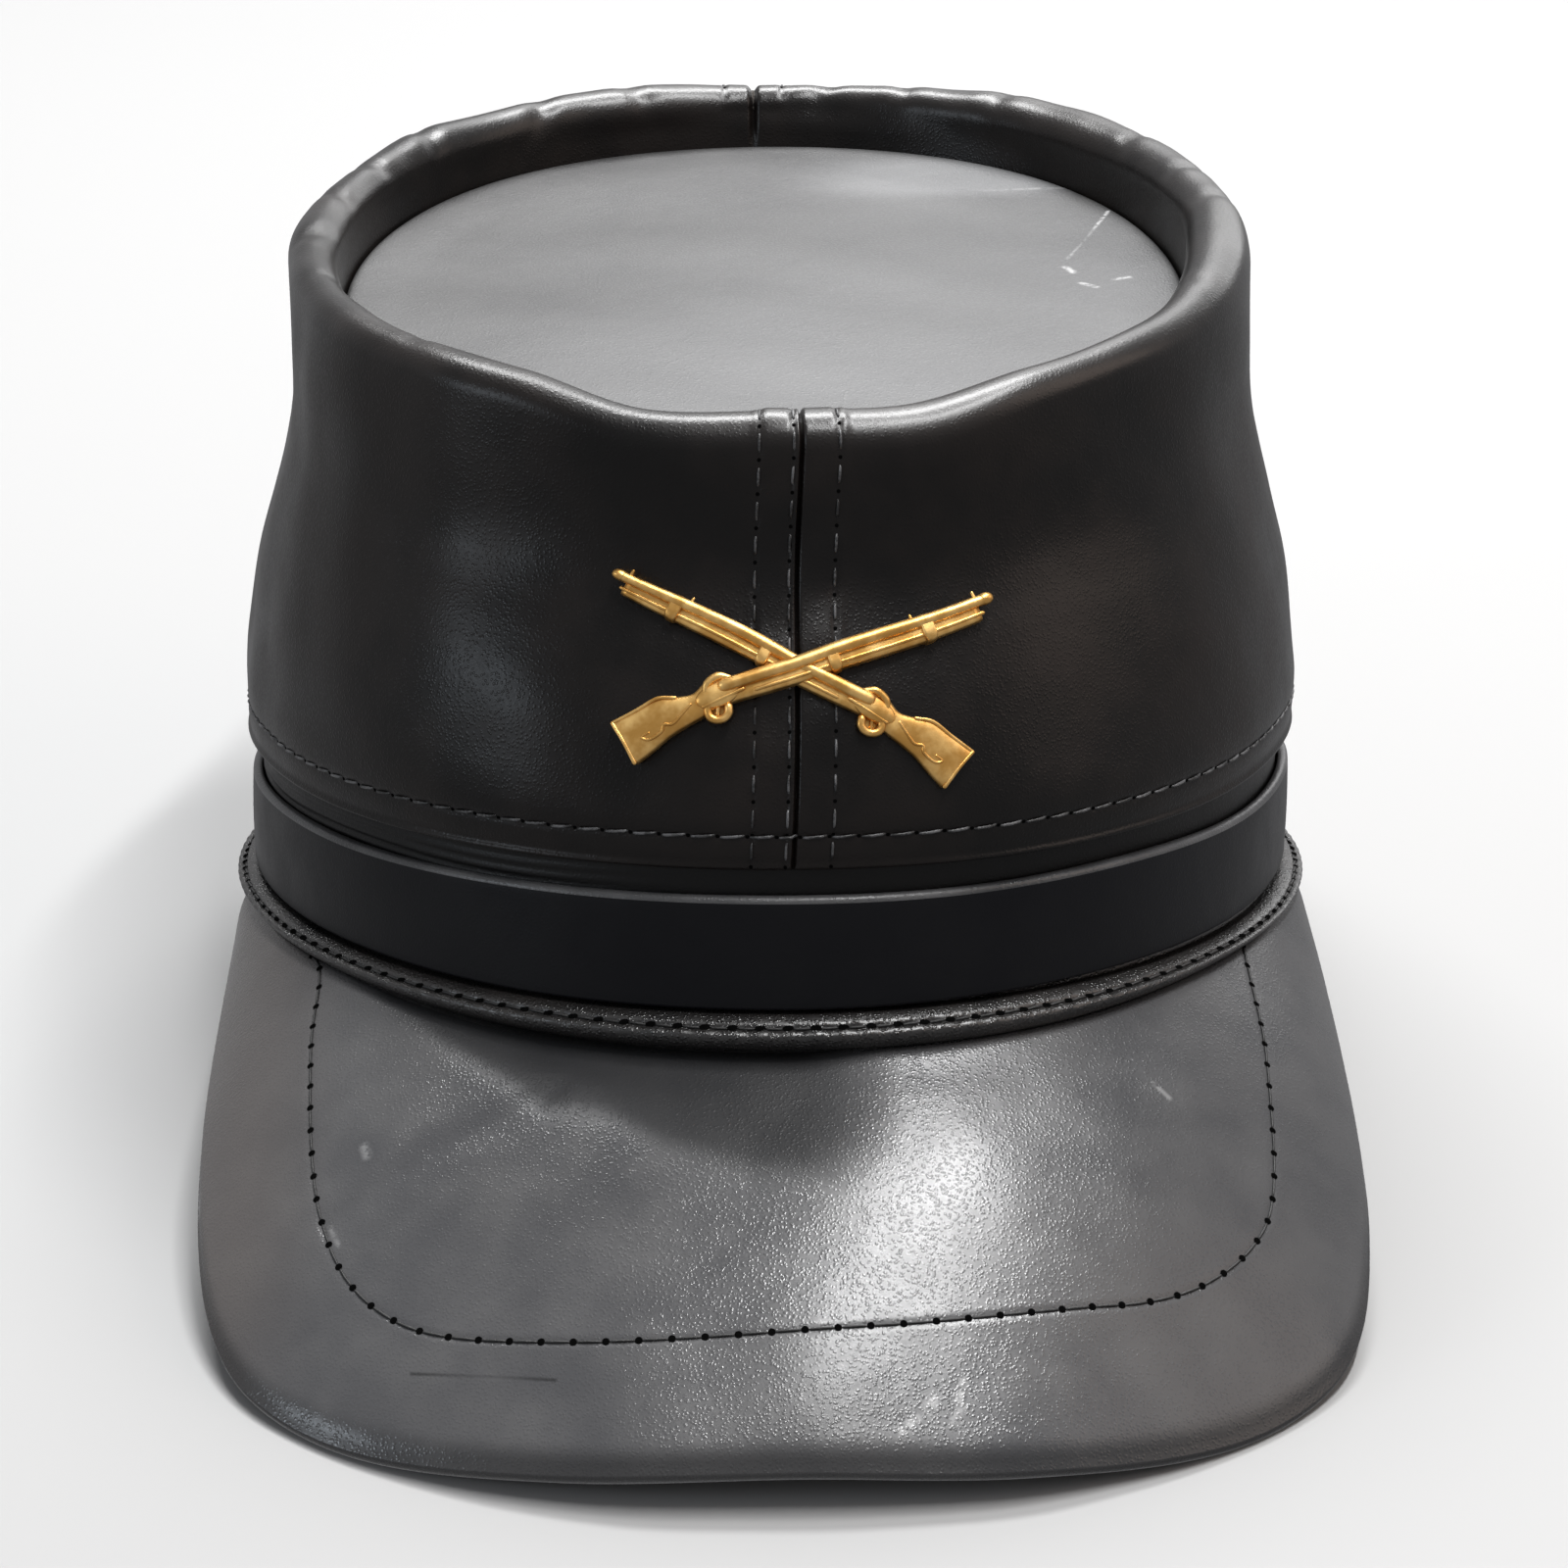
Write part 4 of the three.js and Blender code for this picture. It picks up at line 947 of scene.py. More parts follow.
def peak_plain(span, blade):
    """The peak's plain upper face: span -1 to 1 from end to end, blade 0 at the crease and 1 at the
    edge, below 0 the root that is tucked under the base band."""
    around = span * PEAK_SPREAD
    crease_out = BAND_WALL + welt_reach(around) * WELT_ROWS[-1, 0]
    root_height = base_rise(around) - SEAM_GAP
    crease = head_oval(around, crease_out, root_height)
    root = head_oval(around, crease_out + np.minimum(blade, 0) * PEAK_TUCK, root_height)
    end = head_oval(PEAK_SPREAD, WELT_OFFSET, 0.0)
    front = -(HEAD_LENGTH / 2 + WELT_OFFSET + PEAK_REACH)
    x = peak_out(span) * PEAK_HALF_WIDTH
    edge = np.stack([x, mix(end[1], front, peak_forward(span)), -peak_drop(span) * PEAK_DROP], -1)
    share = np.clip(blade, 0, 1)
    span_vector = edge - crease
    length = np.linalg.norm(span_vector, axis=-1)
    rise = PEAK_SWELL * np.minimum(1, length / np.hypot(PEAK_REACH, PEAK_DROP)) * 4 * share * (1 - share)
    level = span_vector * np.array([1, 1, 0])
    slope = np.arctan2(-span_vector[..., 2], np.linalg.norm(level, axis=-1))
    bow = unit(level) * np.sin(slope)[..., None] + np.array([0, 0, 1.0]) * np.cos(slope)[..., None]
    blade_point = crease + span_vector * share[..., None] + bow * rise[..., None]
    return np.where((blade <= 0)[..., None], root, blade_point)


def peak_normal(span, blade):
    """The upward normal of the plain peak, by small steps along and across it."""
    step = 0.01
    blade = np.maximum(blade, step)
    across = peak_plain(np.minimum(span + step, 1), blade) - peak_plain(np.maximum(span - step, -1), blade)
    down = peak_plain(span, np.minimum(blade + step, 1)) - peak_plain(span, blade - step)
    normal = unit(np.cross(down, across))
    return normal * np.sign(normal[..., 2:] + 1e-9)


# The line of the peak's stitches, from its -X end to its +X end: span and blade.
PEAK_SEAM = np.array([
    (-0.705, 0.0), (-0.67, 0.04), (-0.603, 0.248), (-0.528, 0.402), (-0.462, 0.52), (-0.412, 0.6),
    (-0.355, 0.683), (-0.306, 0.724), (-0.258, 0.737), (-0.177, 0.728), (-0.078, 0.711), (-0.008, 0.701),
    (0.062, 0.687), (0.133, 0.675), (0.212, 0.673), (0.268, 0.682), (0.325, 0.68), (0.388, 0.656),
    (0.437, 0.614), (0.508, 0.504), (0.598, 0.328), (0.66, 0.15), (0.7, 0.0),
])
# A long soft crease that handling has pressed across the peak, as places in the base plane.
PEAK_CREASE = np.array([(-64, -111.5), (-57, -109), (-51, -107), (-40, -106), (-33, -103)])


def distance_to_line(points, line):
    """Distance from points to a broken line: to the nearest place on each of its segments, the least."""
    start, way = line[:-1], np.diff(line, axis=0)
    offset = points[..., None, :] - start
    share = np.clip((offset * way).sum(-1) / (way * way).sum(-1), 0, 1)
    return np.linalg.norm(offset - share[..., None] * way, axis=-1).min(-1)


def seam_line(count):
    """Span and blade at count even steps along a smooth curve through the seam's table."""
    rows = np.column_stack([np.arange(len(PEAK_SEAM)), PEAK_SEAM])
    steps = np.linspace(0, len(rows) - 1, count)
    return smooth_column(rows, 1)(steps), smooth_column(rows, 2)(steps)


SEAM_PATH = peak_plain(*seam_line(90))
HOLLOW_DEPTH = 1.3
HOLLOW_SLOPE = 15.0  # width over which the hollow deepens
# The outer border of the hollow between the welt and the peak's fold: x and y in the base plane.
HOLLOW_BORDER = np.array([
    (-80, -56), (-67.5, -64.5), (-57.6, -81), (-49.9, -91.5), (-43.4, -98.6), (-34.2, -108.8),
    (-26.4, -111.2), (-17.5, -117.3), (-5.2, -121.8), (4.8, -122.7), (12, -121), (30, -110),
])


def peak_hollow(points, soft=5.0):
    """1 in the hollow between the welt and its border, left of the middle, 0 elsewhere."""
    x, y = points[..., 0], points[..., 1]
    inside = step_up(y - np.interp(x, *HOLLOW_BORDER.T), -1.5, soft)
    return inside * (1 - step_up(x, 0, 16)) * step_up(x, -78, -60)


def peak_lift(span, blade):
    """The peak's relief in mm over its plain face: slack waves, a fine groove along the seam, a margin
    that lies a little lower outside it, a fold at the left and the hollow beside it."""
    plain = peak_plain(span, blade)
    lift = soft_waves(plain, 62, 0.22, 31) + soft_waves(plain, 24, 0.07, 32)
    seam = distance_to_line(plain, SEAM_PATH)
    lift += 0.04 * bump(seam, 2.0) - 0.15 * bump(seam, 0.5)
    crease = distance_to_line(plain[..., :2], PEAK_CREASE)
    lift += 0.14 * bump(crease, 7) - 0.3 * bump(crease, 2.4)
    lift -= 0.75 * bump((1 - blade) * PEAK_DEPTH, 2.0)
    return lift * step_up(blade, 0.0, 0.12) - HOLLOW_DEPTH * peak_hollow(plain, HOLLOW_SLOPE)


def peak_skin(span, blade):
    """A point of the peak's upper skin, with its relief."""
    return peak_plain(span, blade) + peak_normal(span, blade) * peak_lift(span, blade)[..., None]


def peak_painted_shade(points):
    """Painted shade of the peak, darker and with less sheen: most in the hollow, a little at its right side.
    """
    return 0.8 * peak_hollow(points) + 0.3 * step_up(points[..., 0], 26, 56)


def peak_margin(points):
    """1 at the peak's left margin, outside its seam, 0 elsewhere."""
    x, y = points[..., 0], points[..., 1]
    return step_up(-x, 62, 80) * step_up(y, -140, -110)


# Places of a section's points along the blade, closer together where the relief is fine.
PEAK_BLADES = np.concatenate([
    [-1, -0.5, -0.05], np.linspace(0, 0.6, 50), np.linspace(0.6, 0.78, 34)[1:], np.linspace(0.78, 1, 20)[1:],
])


def peak_edge(sections):
    """1 at the peak's rounded outer edge and under it, fading over the last 4 mm of its upper face."""
    upper = 1 - step_up((1 - PEAK_BLADES) * PEAK_DEPTH, 0.8, 4.2)
    return np.tile(np.concatenate([upper, np.ones(sections.shape[1] - len(upper))]), (len(sections), 1))


def peak_sections():
    """Closed sections: the upper face from the root to the edge, a rounded edge and the underside."""
    inner, outer = np.arange(0, 0.4, 0.0075), np.arange(0.4, 0.72, 0.0045)
    half = np.concatenate([inner, outer, np.linspace(0.72, 1, 28)])
    span = np.concatenate([-half[:0:-1], half])[:, None]
    span, blade = np.broadcast_arrays(span, PEAK_BLADES[None, :])
    normal = peak_normal(span, blade)
    down = np.where((blade <= 0)[..., None], np.array([0, 0, 1.0]), normal)
    upper = peak_plain(span, blade) + normal * peak_lift(span, blade)[..., None]
    lower = peak_plain(span, blade) - down * PEAK_WALL
    middle = (upper[:, -1:] + lower[:, -1:]) / 2
    outward = unit(middle - (upper[:, -3:-2] + lower[:, -3:-2]) / 2)
    half = (upper[:, -1:] - lower[:, -1:]) / 2
    turn = np.radians([80, 60, 40, 20, 5, -5, -20, -40, -60, -80])[None, :, None]
    rim = middle + half * np.sin(turn) + outward * (PEAK_WALL / 5) * np.cos(turn)
    sections = np.concatenate([upper, rim, lower[:, ::-1]], axis=1)
    # the cap rests on the peak's edge, so no point of it may lie under the floor
    under_floor = np.maximum(0, 0.01 - turned(sections + OFFSET)[..., 2:])
    return sections + under_floor * np.array([0, 0, 1.03])


# Scuffs and scratches of the peak: start and end (span, blade), width in mm and strength.
PEAK_MARKS = [
    ((0.066, 0.915), (0.076, 0.89), 1.1, 0.75), ((0.084, 0.87), (0.09, 0.845), 1.2, 0.7),
    ((0.106, 0.85), (0.112, 0.81), 1.0, 0.75), ((0.108, 0.865), (0.098, 0.9), 0.9, 0.5),
    ((-0.418, 0.4), (-0.408, 0.415), 1.2, 0.35), ((-0.4, 0.6), (-0.38, 0.625), 0.7, 0.25),
    ((0.4, 0.22), (0.405, 0.27), 0.7, 0.4), ((-0.615, 0.975), (-0.6, 0.985), 1.4, 0.4),
]
PEAK_CUT = (-0.27, 0.826), (-0.165, 0.808)  # a fine dark cut outside the seam: its two ends


def peak_wear(bench, colour, gloss, normal):
    """The peak gets painted shade in the hollow under the welt and a little at its right side, darker and
    with less sheen there. It is brown at its rubbed left margin, dark at its outer edge, and scuffed."""
    hollow, margin = bench.kept("hollow"), bench.kept("margin")
    # painted shade: the kept value darkens the hollow under the welt and the right side
    colour = bench.blend(hollow, colour, (0.018, 0.0183, 0.0192, 1))
    colour = bench.blend(margin * 0.5, colour, (0.078, 0.067, 0.061, 1))
    colour = bench.blend(bench.kept("edge") * 0.6, colour, (0.006, 0.0058, 0.006, 1))
    marks = [
        (peak_skin(*np.float64(start)), peak_skin(*np.float64(end)), width, strength)
        for start, end, width, strength in PEAK_MARKS
    ]
    cut_start, cut_end = (peak_skin(*np.float64(end)) for end in PEAK_CUT)
    colour = bench.blend(bench.stroke(cut_start, cut_end, 0.45) * 0.7, colour, (0.004, 0.004, 0.004, 1))
    return marked(bench, colour, marks, (0.3, 0.3, 0.3, 1)), gloss + hollow * 0.12, normal


# the peak's painted shade also mixes in a finish without its sheen
PEAK_LEATHER = leather(
    "peak_leather", (0.047, 0.0473, 0.05), (0.065, 0.0645, 0.0658), 0.24, 0.024, 0.13,
    build=peak_wear, shaded="hollow",
)
sections = peak_sections()
underside = (sections.shape[1] // 2 + 4, sections.shape[1])
make_loft(
    "peak_leather_blade", sections, False, [PEAK_LEATHER, FLESH_SIDE], ["peak"], underside,
    {"hollow": peak_painted_shade(sections), "margin": peak_margin(sections), "edge": peak_edge(sections)},
)

# %% [markdown]
# Every visible stitch is a short piece of thread of its own. It comes up out of one needle hole, lies on
# the leather and goes down into the next. A row is laid out by length along a line on the skin, so the
# stitches keep their pitch round every bend. Each is a tube of seven rings, thin at its sunken ends.

# %% Stitch rows
def skin_line(skin, a, b, turn=1):
    """Points and outward normals along a line of a skin, from small steps both ways."""
    step = 1e-3
    across = skin(a + step, b) - skin(a - step, b)
    along = skin(a, b + step) - skin(a, b - step)
    return skin(a, b), unit(np.cross(across, along)) * turn


def along_line(line, length, spots):
    """Values of a line's points at spots given as lengths along it."""
    return np.stack([np.interp(spots, length, line[:, k]) for k in range(3)], -1)


def tube_faces(tubes, rings, sides):
    """Quads of many open tubes, each with its own rings of points."""
    tube = np.arange(tubes)[:, None, None] * rings * sides
    ring = np.arange(rings - 1)[None, :, None] * sides
    side = np.arange(sides)[None, None, :]
    after = (side + 1) % sides
    start = tube + ring
    corners = [start + side, start + after, start + sides + after, start + sides + side]
    return np.stack(np.broadcast_arrays(*corners), -1).reshape(-1, 4)


def rings_round(centre, tangent, up, radius, sides):
    """Circles of points round each centre, square to the tangent."""
    side = unit(np.cross(up, tangent))
    over = np.cross(tangent, side)
    turn = np.linspace(0, 2 * np.pi, sides + 1)[:-1]
    ring = side[..., None, :] * np.cos(turn)[:, None] + over[..., None, :] * np.sin(turn)[:, None]
    return centre[..., None, :] + ring * radius[..., None, None]


def stitch_row(line, pitch, radius, fill, hole, slant=0.0, stretch=1.0, over=0.03):
    """Threads and needle holes along a line: (points, faces, material number) of each. A thread takes the
    share fill of its pitch and may lie slantwise. A hole is a near-black disc of painted shade: it has a
    radius, is stretched along the row and lies over mm off the skin."""
    point, normal = line
    length = np.concatenate([[0], np.cumsum(np.linalg.norm(np.diff(point, axis=0), axis=1))])
    count = int(round(length[-1] / pitch))
    start = np.arange(count)[:, None] * length[-1] / count
    share = np.array([0, 0.05, 0.17, 0.5, 0.83, 0.95, 1.0])
    spots = start + length[-1] / count * (0.5 + fill * (share - 0.5))
    up = unit(along_line(normal, length, spots))
    centre = along_line(point, length, spots)
    way = unit(np.gradient(centre, axis=1))
    centre = centre + up * radius * np.array([-1.5, -0.2, 0.6, 0.85, 0.6, -0.2, -1.5])[:, None]
    centre = centre + np.cross(up, way) * (slant * (share - 0.5) + 0.5 * abs(slant) * share**6)[:, None]
    girth = radius * np.broadcast_to([0.0, 0.8, 1, 1.05, 1, 0.8, 0.0], spots.shape)
    thread = rings_round(centre, unit(np.gradient(centre, axis=1)), up, girth, 8)
    ends = np.concatenate([start, start[-1:] + length[-1] / count])
    ends = np.clip(ends, 0.01, length[-1] - 0.01)
    floor, lid = along_line(point, length, ends), unit(along_line(normal, length, ends))
    ahead = unit(np.gradient(floor[:, 0], axis=0))[:, None]
    # each needle hole is a flat disc that gets the painted-shade finish
    size = np.array([hole, 0.6 * hole, 0.0])
    middle = floor + lid * (over + np.array([0.0, 0.02, 0.025]))[:, None]
    dark = rings_round(middle, lid, ahead, np.broadcast_to(size, (len(ends), 3)), 12)
    offset = dark - middle[:, :, None]
    ahead = ahead[:, :, None]
    dark = dark + ahead * (offset * ahead).sum(-1, keepdims=True) * (stretch - 1)
    return [(thread, tube_faces(count, 7, 8), 0), (dark, tube_faces(len(ends), 3, 12), 1)]


def sewn(name, rows, thread):
    """One object from several stitch rows."""
    parts = [part for row in rows for part in row]
    points = [part[0].reshape(-1, 3) for part in parts]
    shift = np.cumsum([0] + [len(p) for p in points[:-1]])
    faces = np.concatenate([part[1] + offset for part, offset in zip(parts, shift)])
    kind = np.concatenate([np.full(len(part[1]), part[2]) for part in parts])
    make_piece(name, np.concatenate(points), faces, [thread, NEEDLE_HOLE_SHADE], kind=kind)


def crown_surface(around, station):
    """A point of the crown's skin, with its relief."""
    return crown_skin(around, station, crown_lift(around, station))


def column(seam, offset, start, end):
    """A stitch line that keeps its distance from a seam, from one station to another."""
    station = np.linspace(start, end, 500)
    angle = seam(station)
    half_width = seam_distance(angle + 0.01, station, angle) / 0.01
    return skin_line(crown_surface, angle + offset / half_width, station)


def hem_line():
    """The line round the crown, HEM_ROW over its lower edge, that the hem's stitches follow."""
    around = np.linspace(FRONT_SEAM, FRONT_SEAM + 2 * np.pi, 1500)
    rise = rim_height(around) - CROWN_BOTTOM - hem_rise(around)
    return skin_line(crown_surface, around, HEM_ROW / rise)


rows = []
for offset in FRONT_COLUMNS:
    line = column(front_seam, offset, 0.008, 1.55)
    rows.append(stitch_row(line, SEAM_PITCH, 0.19, 0.56, 0.28, over=0.08))
for offset in BACK_COLUMNS:
    line = column(back_seam, offset, 0.008, 1.6)
    rows.append(stitch_row(line, SEAM_PITCH, 0.2, 0.62, 0.34))
rows.append(stitch_row(hem_line(), HEM_PITCH, 0.22, 0.86, 0.3, 0.25))
sewn("crown_stitches", rows, RUBBED_THREAD)

ring = np.linspace(0, 2 * np.pi, 1500)
line = skin_line(welt_skin, ring, np.full(1500, WELT_ROW), -1)
welt_row = stitch_row(line, WELT_PITCH, 0.22, 0.72, 0.5, stretch=1.6, over=0.26)
sewn("welt_stitches", [welt_row], BLACK_THREAD)
line = skin_line(peak_skin, *seam_line(600), -1)
peak_row = stitch_row(line, PEAK_PITCH, 0.19, 0.9, 0.55, over=0.13)
sewn("peak_stitches", [peak_row], BLACK_THREAD)

# %% [markdown]
# The badge is stamped from sheet brass: two crossed rifles with a rounded relief of about a millimetre. It
# is worked out flat, as lengths along a rifle, across it and off the leather, and then bent onto the
# crown, a little less than the leather is. Stock and fore-end are a domed plate, the barrel, ramrod,
# sights, guard and scroll are round rods, and the bands and the lock are small raised plates.

# %% The flat badge and its bending
RIFLE_LENGTH = 60.5
BUTT_DEPTH = 6
RIFLE_ANGLE = np.radians(22)
BADGE_TILT = np.radians(-5.6)
PLATE_THICKNESS = 1.1
OVERPASS = 0.7
BARREL_BOW = 0.0028  # the barrels bow against the crown's bend, so they look straight from the front
BADGE_RAISE = 0.3
BADGE_DROOP = 0.0016  # how far the stiff badge lies lower 1 mm from its middle, growing with the square
POST_SPACING = 13.5
POST_RADIUS = 0.9
HALF = RIFLE_LENGTH / 2
# One rifle from butt to fore-end: share of the half length, lean, lower and upper edge as shares of the
# butt's depth.
RIFLE_ROWS = np.array([
    (-0.81, -0.06, -0.96, 0.19), (-0.73, -0.03, -0.78, 0.33), (-0.64, 0.0, -0.55, 0.46),
    (-0.56, 0.0, -0.42, 0.36), (-0.48, 0.0, -0.32, 0.31), (-0.41, 0.0, -0.22, 0.5),
    (-0.34, -0.02, -0.18, 0.57), (-0.27, 0.0, -0.18, 0.32), (-0.13, 0.0, -0.2, 0.25),
    (0.43, 0.0, -0.22, 0.25), (0.58, 0.0, -0.22, 0.25), (0.75, 0.0, -0.21, 0.25),
    (0.93, 0.0, -0.2, 0.24),
])


def badge_point(across, up, off):
    """A place on the crown near the badge: across and up in mm on the leather, off over it."""
    step = 0.01
    rise = rim_height(0.0) - CROWN_BOTTOM
    middle = BADGE_HEIGHT / rise
    radius = np.linalg.norm(wall_point(step, middle) - wall_point(-step, middle)) / (2 * step)
    climb = wall_point(0.0, middle + step) - wall_point(0.0, middle - step)
    around = (BADGE_SHIFT + across) / radius
    height = (BADGE_HEIGHT + up * climb[2] / np.linalg.norm(climb)) / rise
    side = wall_point(around + step, height) - wall_point(around - step, height)
    climb = wall_point(around, height + step) - wall_point(around, height - step)
    return wall_point(around, height) + unit(np.cross(side, climb)) * off[..., None]


def on_badge(flat, hand, stiff=1.0):
    """Bends flat rifle places (along, lift, off) onto the crown; hand 1 points the muzzle to +X. The
    stamping is stiffer than the leather, so its ends bend round less: they lie lower by stiff."""
    along, lift, off = flat[..., 0], flat[..., 1], flat[..., 2]
    lift = lift + stiff * BARREL_BOW * np.maximum(along, 0) * (HALF - along)
    x = hand * (along * np.cos(RIFLE_ANGLE) - lift * np.sin(RIFLE_ANGLE))
    y = along * np.sin(RIFLE_ANGLE) + lift * np.cos(RIFLE_ANGLE)
    x, y = x * np.cos(BADGE_TILT) - y * np.sin(BADGE_TILT), x * np.sin(BADGE_TILT) + y * np.cos(BADGE_TILT)
    return badge_point(x, y + stiff * (BADGE_RAISE - BADGE_DROOP * x**2), off)


def smooth_path(points, count):
    """A smooth curve through a few flat places."""
    rows = np.column_stack([np.arange(len(points)), np.array(points, float)])
    steps = np.linspace(0, len(rows) - 1, count)
    return np.stack([smooth_column(rows, k)(steps) for k in (1, 2, 3)], -1)


def rod(points, radius, count=24, sides=12):
    """A round rod along a smooth path, its ends closed by half-round caps. Several radii are spread evenly
    along it."""
    centre = smooth_path(points, count)
    tangent = unit(np.gradient(centre, axis=0))
    up = np.broadcast_to([0, 0, 1.0], centre.shape)
    up = np.where(np.abs(tangent[:, 2:]) > 0.9, [0, 1.0, 0], up)
    radii = np.atleast_1d(radius)
    size = np.interp(np.linspace(0, 1, count), np.linspace(0, 1, len(radii)), radii)
    reach, girth = np.array([[1.0], [0.87], [0.5]]), np.array([0, 0.5, 0.87])
    caps = [
        (centre[k] + way * tangent[k] * size[k] * reach, size[k] * girth)
        for k, way in ((0, -1), (-1, 1))
    ]
    middle = np.concatenate([caps[0][0], centre, caps[1][0][::-1]])
    girth = np.concatenate([caps[0][1], size, caps[1][1][::-1]])
    spread = [np.repeat(values[[0, -1]], 3, axis=0) for values in (tangent, up)]
    tangent = np.concatenate([spread[0][:3], tangent, spread[0][3:]])
    up = np.concatenate([spread[1][:3], up, spread[1][3:]])
    points = rings_round(middle, tangent, up, girth, sides)
    return points, tube_faces(1, len(middle), sides)


def domed_plate(low, high, along, base, shoulder, dome, lean=0.0):
    """A plate between two edges: upright sides, and a top that domes over them. low, high, along and lean
    are given at each station; the last points lie on the flat back."""
    share = np.linspace(0, 1, 17)
    top = shoulder + dome * np.sqrt(np.clip(1 - np.abs(2 * share - 1) ** 3.4, 0, 1))
    share, height = np.concatenate([share, share[::-1]]), np.concatenate([top, np.full(17, base)])
    lift = mix(low[:, None], high[:, None], share)
    where = along[:, None] + share * np.reshape(lean, (-1, 1))
    points = np.stack(np.broadcast_arrays(where, lift, height), -1)
    quads, caps = loft_faces(len(along), 34, False)
    return points, np.concatenate([quads, caps])


def oval_plate(middle, size, turn, base, height):
    """A low oval dome on the flat badge, for the lock plate and the plate inside the guard."""
    share = np.linspace(0, 1, 8)
    angle = np.linspace(0, 2 * np.pi, 25)[:-1]
    x = size[0] * np.sin(share * np.pi / 2)[:, None] * np.cos(angle)
    y = size[1] * np.sin(share * np.pi / 2)[:, None] * np.sin(angle)
    z = base + height * np.cos(share * np.pi / 2)[:, None] ** 0.7 + 0 * angle
    along = middle[0] + x * np.cos(turn) - y * np.sin(turn)
    lift = middle[1] + x * np.sin(turn) + y * np.cos(turn)
    return np.stack([along, lift, z], -1), tube_faces(1, 8, 24)


# %% One rifle in relief
def rifle(hand):
    """Every part of one rifle as flat points and faces; the rifle with hand 1 lies over the other."""
    base = SEAM_GAP
    over = OVERPASS if hand > 0 else 0.0
    shoulder, top = base + 0.45 * PLATE_THICKNESS + over, base + PLATE_THICKNESS + over

    def spot(share, lift, off):
        """A flat place: a share of the half length along the rifle, lift across it, off over its top."""
        return HALF * share, lift, top + off

    share = np.concatenate([np.linspace(-0.81, -0.2, 60), np.linspace(-0.2, 0.93, 40)[1:]])
    low, high = (BUTT_DEPTH * smooth_column(RIFLE_ROWS, k)(share) for k in (2, 3))
    lean = HALF * smooth_column(RIFLE_ROWS, 1)(share)
    parts = [domed_plate(low, high, HALF * share, base, shoulder, 0.6 * PLATE_THICKNESS, lean)]

    # barrel with its muzzle, and the ramrod beside it
    bore = 0.25 * BUTT_DEPTH
    barrel = [spot(at, bore, 0.1) for at in (-0.33, 0.0, 0.4, 0.8, 0.985)]
    parts.append(rod(barrel, [1.0, 0.97, 0.93, 0.88, 0.84], 30, 16))
    parts.append(rod([spot(0.965, bore, 0.1), spot(0.985, bore, 0.1)], 0.93, 4, 16))
    ramrod = [spot(-0.2, -0.3, 0), spot(0.2, -0.35, 0), spot(0.6, -0.35, 0), spot(0.94, -0.3, 0)]
    parts.append(rod(ramrod, 0.3, 16, 8))

    # two bands round barrel and stock, and two sights
    for middle, width in ((0.18, 0.026), (0.66, 0.03)):
        along = HALF * (middle + width * np.array([-1, -0.72, 0, 0.72, 1]))
        grow = np.array([-0.3, 0, 0.06, 0, -0.3])
        parts.append(domed_plate(-1.55 - grow, 2.5 + grow, along, base, shoulder + 0.1, 1.25, 0.0))
    for at, height in ((0.93, 0.95), (0.60, 0.7)):
        parts.append(rod([spot(at, 1.9, 0.1), spot(at, 2.1 + height, 0.1)], [0.34, 0.22], 6, 8))

    # lock plate, hammer and the plate's lower moulding
    lock = HALF * -0.36
    parts.append(oval_plate((lock - 0.3, 0.6), (3.3, 1.75), 0.08, shoulder + 0.4, 0.75))
    hammer = [
        (lock + 1.9, 2.3, top - 0.1), (lock + 0.4, 3.05, top + 0.05), (lock - 1.3, 2.5, top + 0.05),
        (lock - 2.0, 1.2, top),
    ]
    parts.append(rod(hammer, [0.42, 0.6, 0.56, 0.34], 16, 10))
    moulding = [(lock + 3.2, 0.3, top + 0.1), (lock, -0.15, top + 0.28), (lock - 2.6, -0.5, top + 0.1)]
    parts.append(rod(moulding, 0.3, 14, 8))

    # guard and trigger
    bow = -0.39 * HALF
    turn = np.linspace(0.15, 1.0, 9) * 2 * np.pi
    guard = [(bow + 1.45 * np.cos(a), -1.5 + 1.4 * np.sin(a), shoulder + 0.3) for a in turn]
    parts.append(rod(guard, 0.6, 40, 10))
    parts.append(oval_plate((bow, -1.5), (1.3, 1.2), 0.0, base, 0.45))
    trigger = [(-0.385 * HALF, -0.9, shoulder + 0.15), (-0.4 * HALF, -2.2, shoulder + 0.1)]
    parts.append(rod(trigger, [0.34, 0.24], 6, 8))

    # scroll on the butt, butt plate and comb
    scroll = [
        (-0.5, 0.4), (-0.55, -0.6), (-0.6, -1.5), (-0.64, -1.3), (-0.66, -2.2), (-0.72, -2.8),
        (-0.75, -2.2), (-0.715, -1.8),
    ]
    parts.append(rod([spot(at, lift, 0.02) for at, lift in scroll], [0.2, 0.24, 0.26, 0.22, 0.16], 50, 8))
    butt = [spot(-0.815, -5.55, -0.28), spot(-0.835, -2.2, -0.12), spot(-0.865, 0.8, -0.28)]
    parts.append(rod(butt, 0.3, 16, 8))
    comb = [
        spot(-0.86, 0.9, -0.32), spot(-0.74, 1.8, -0.25), spot(-0.64, 2.6, -0.2), spot(-0.56, 2.0, -0.25),
    ]
    parts.append(rod(comb, 0.28, 20, 8))
    return [(on_badge(points, hand), faces) for points, faces in parts]


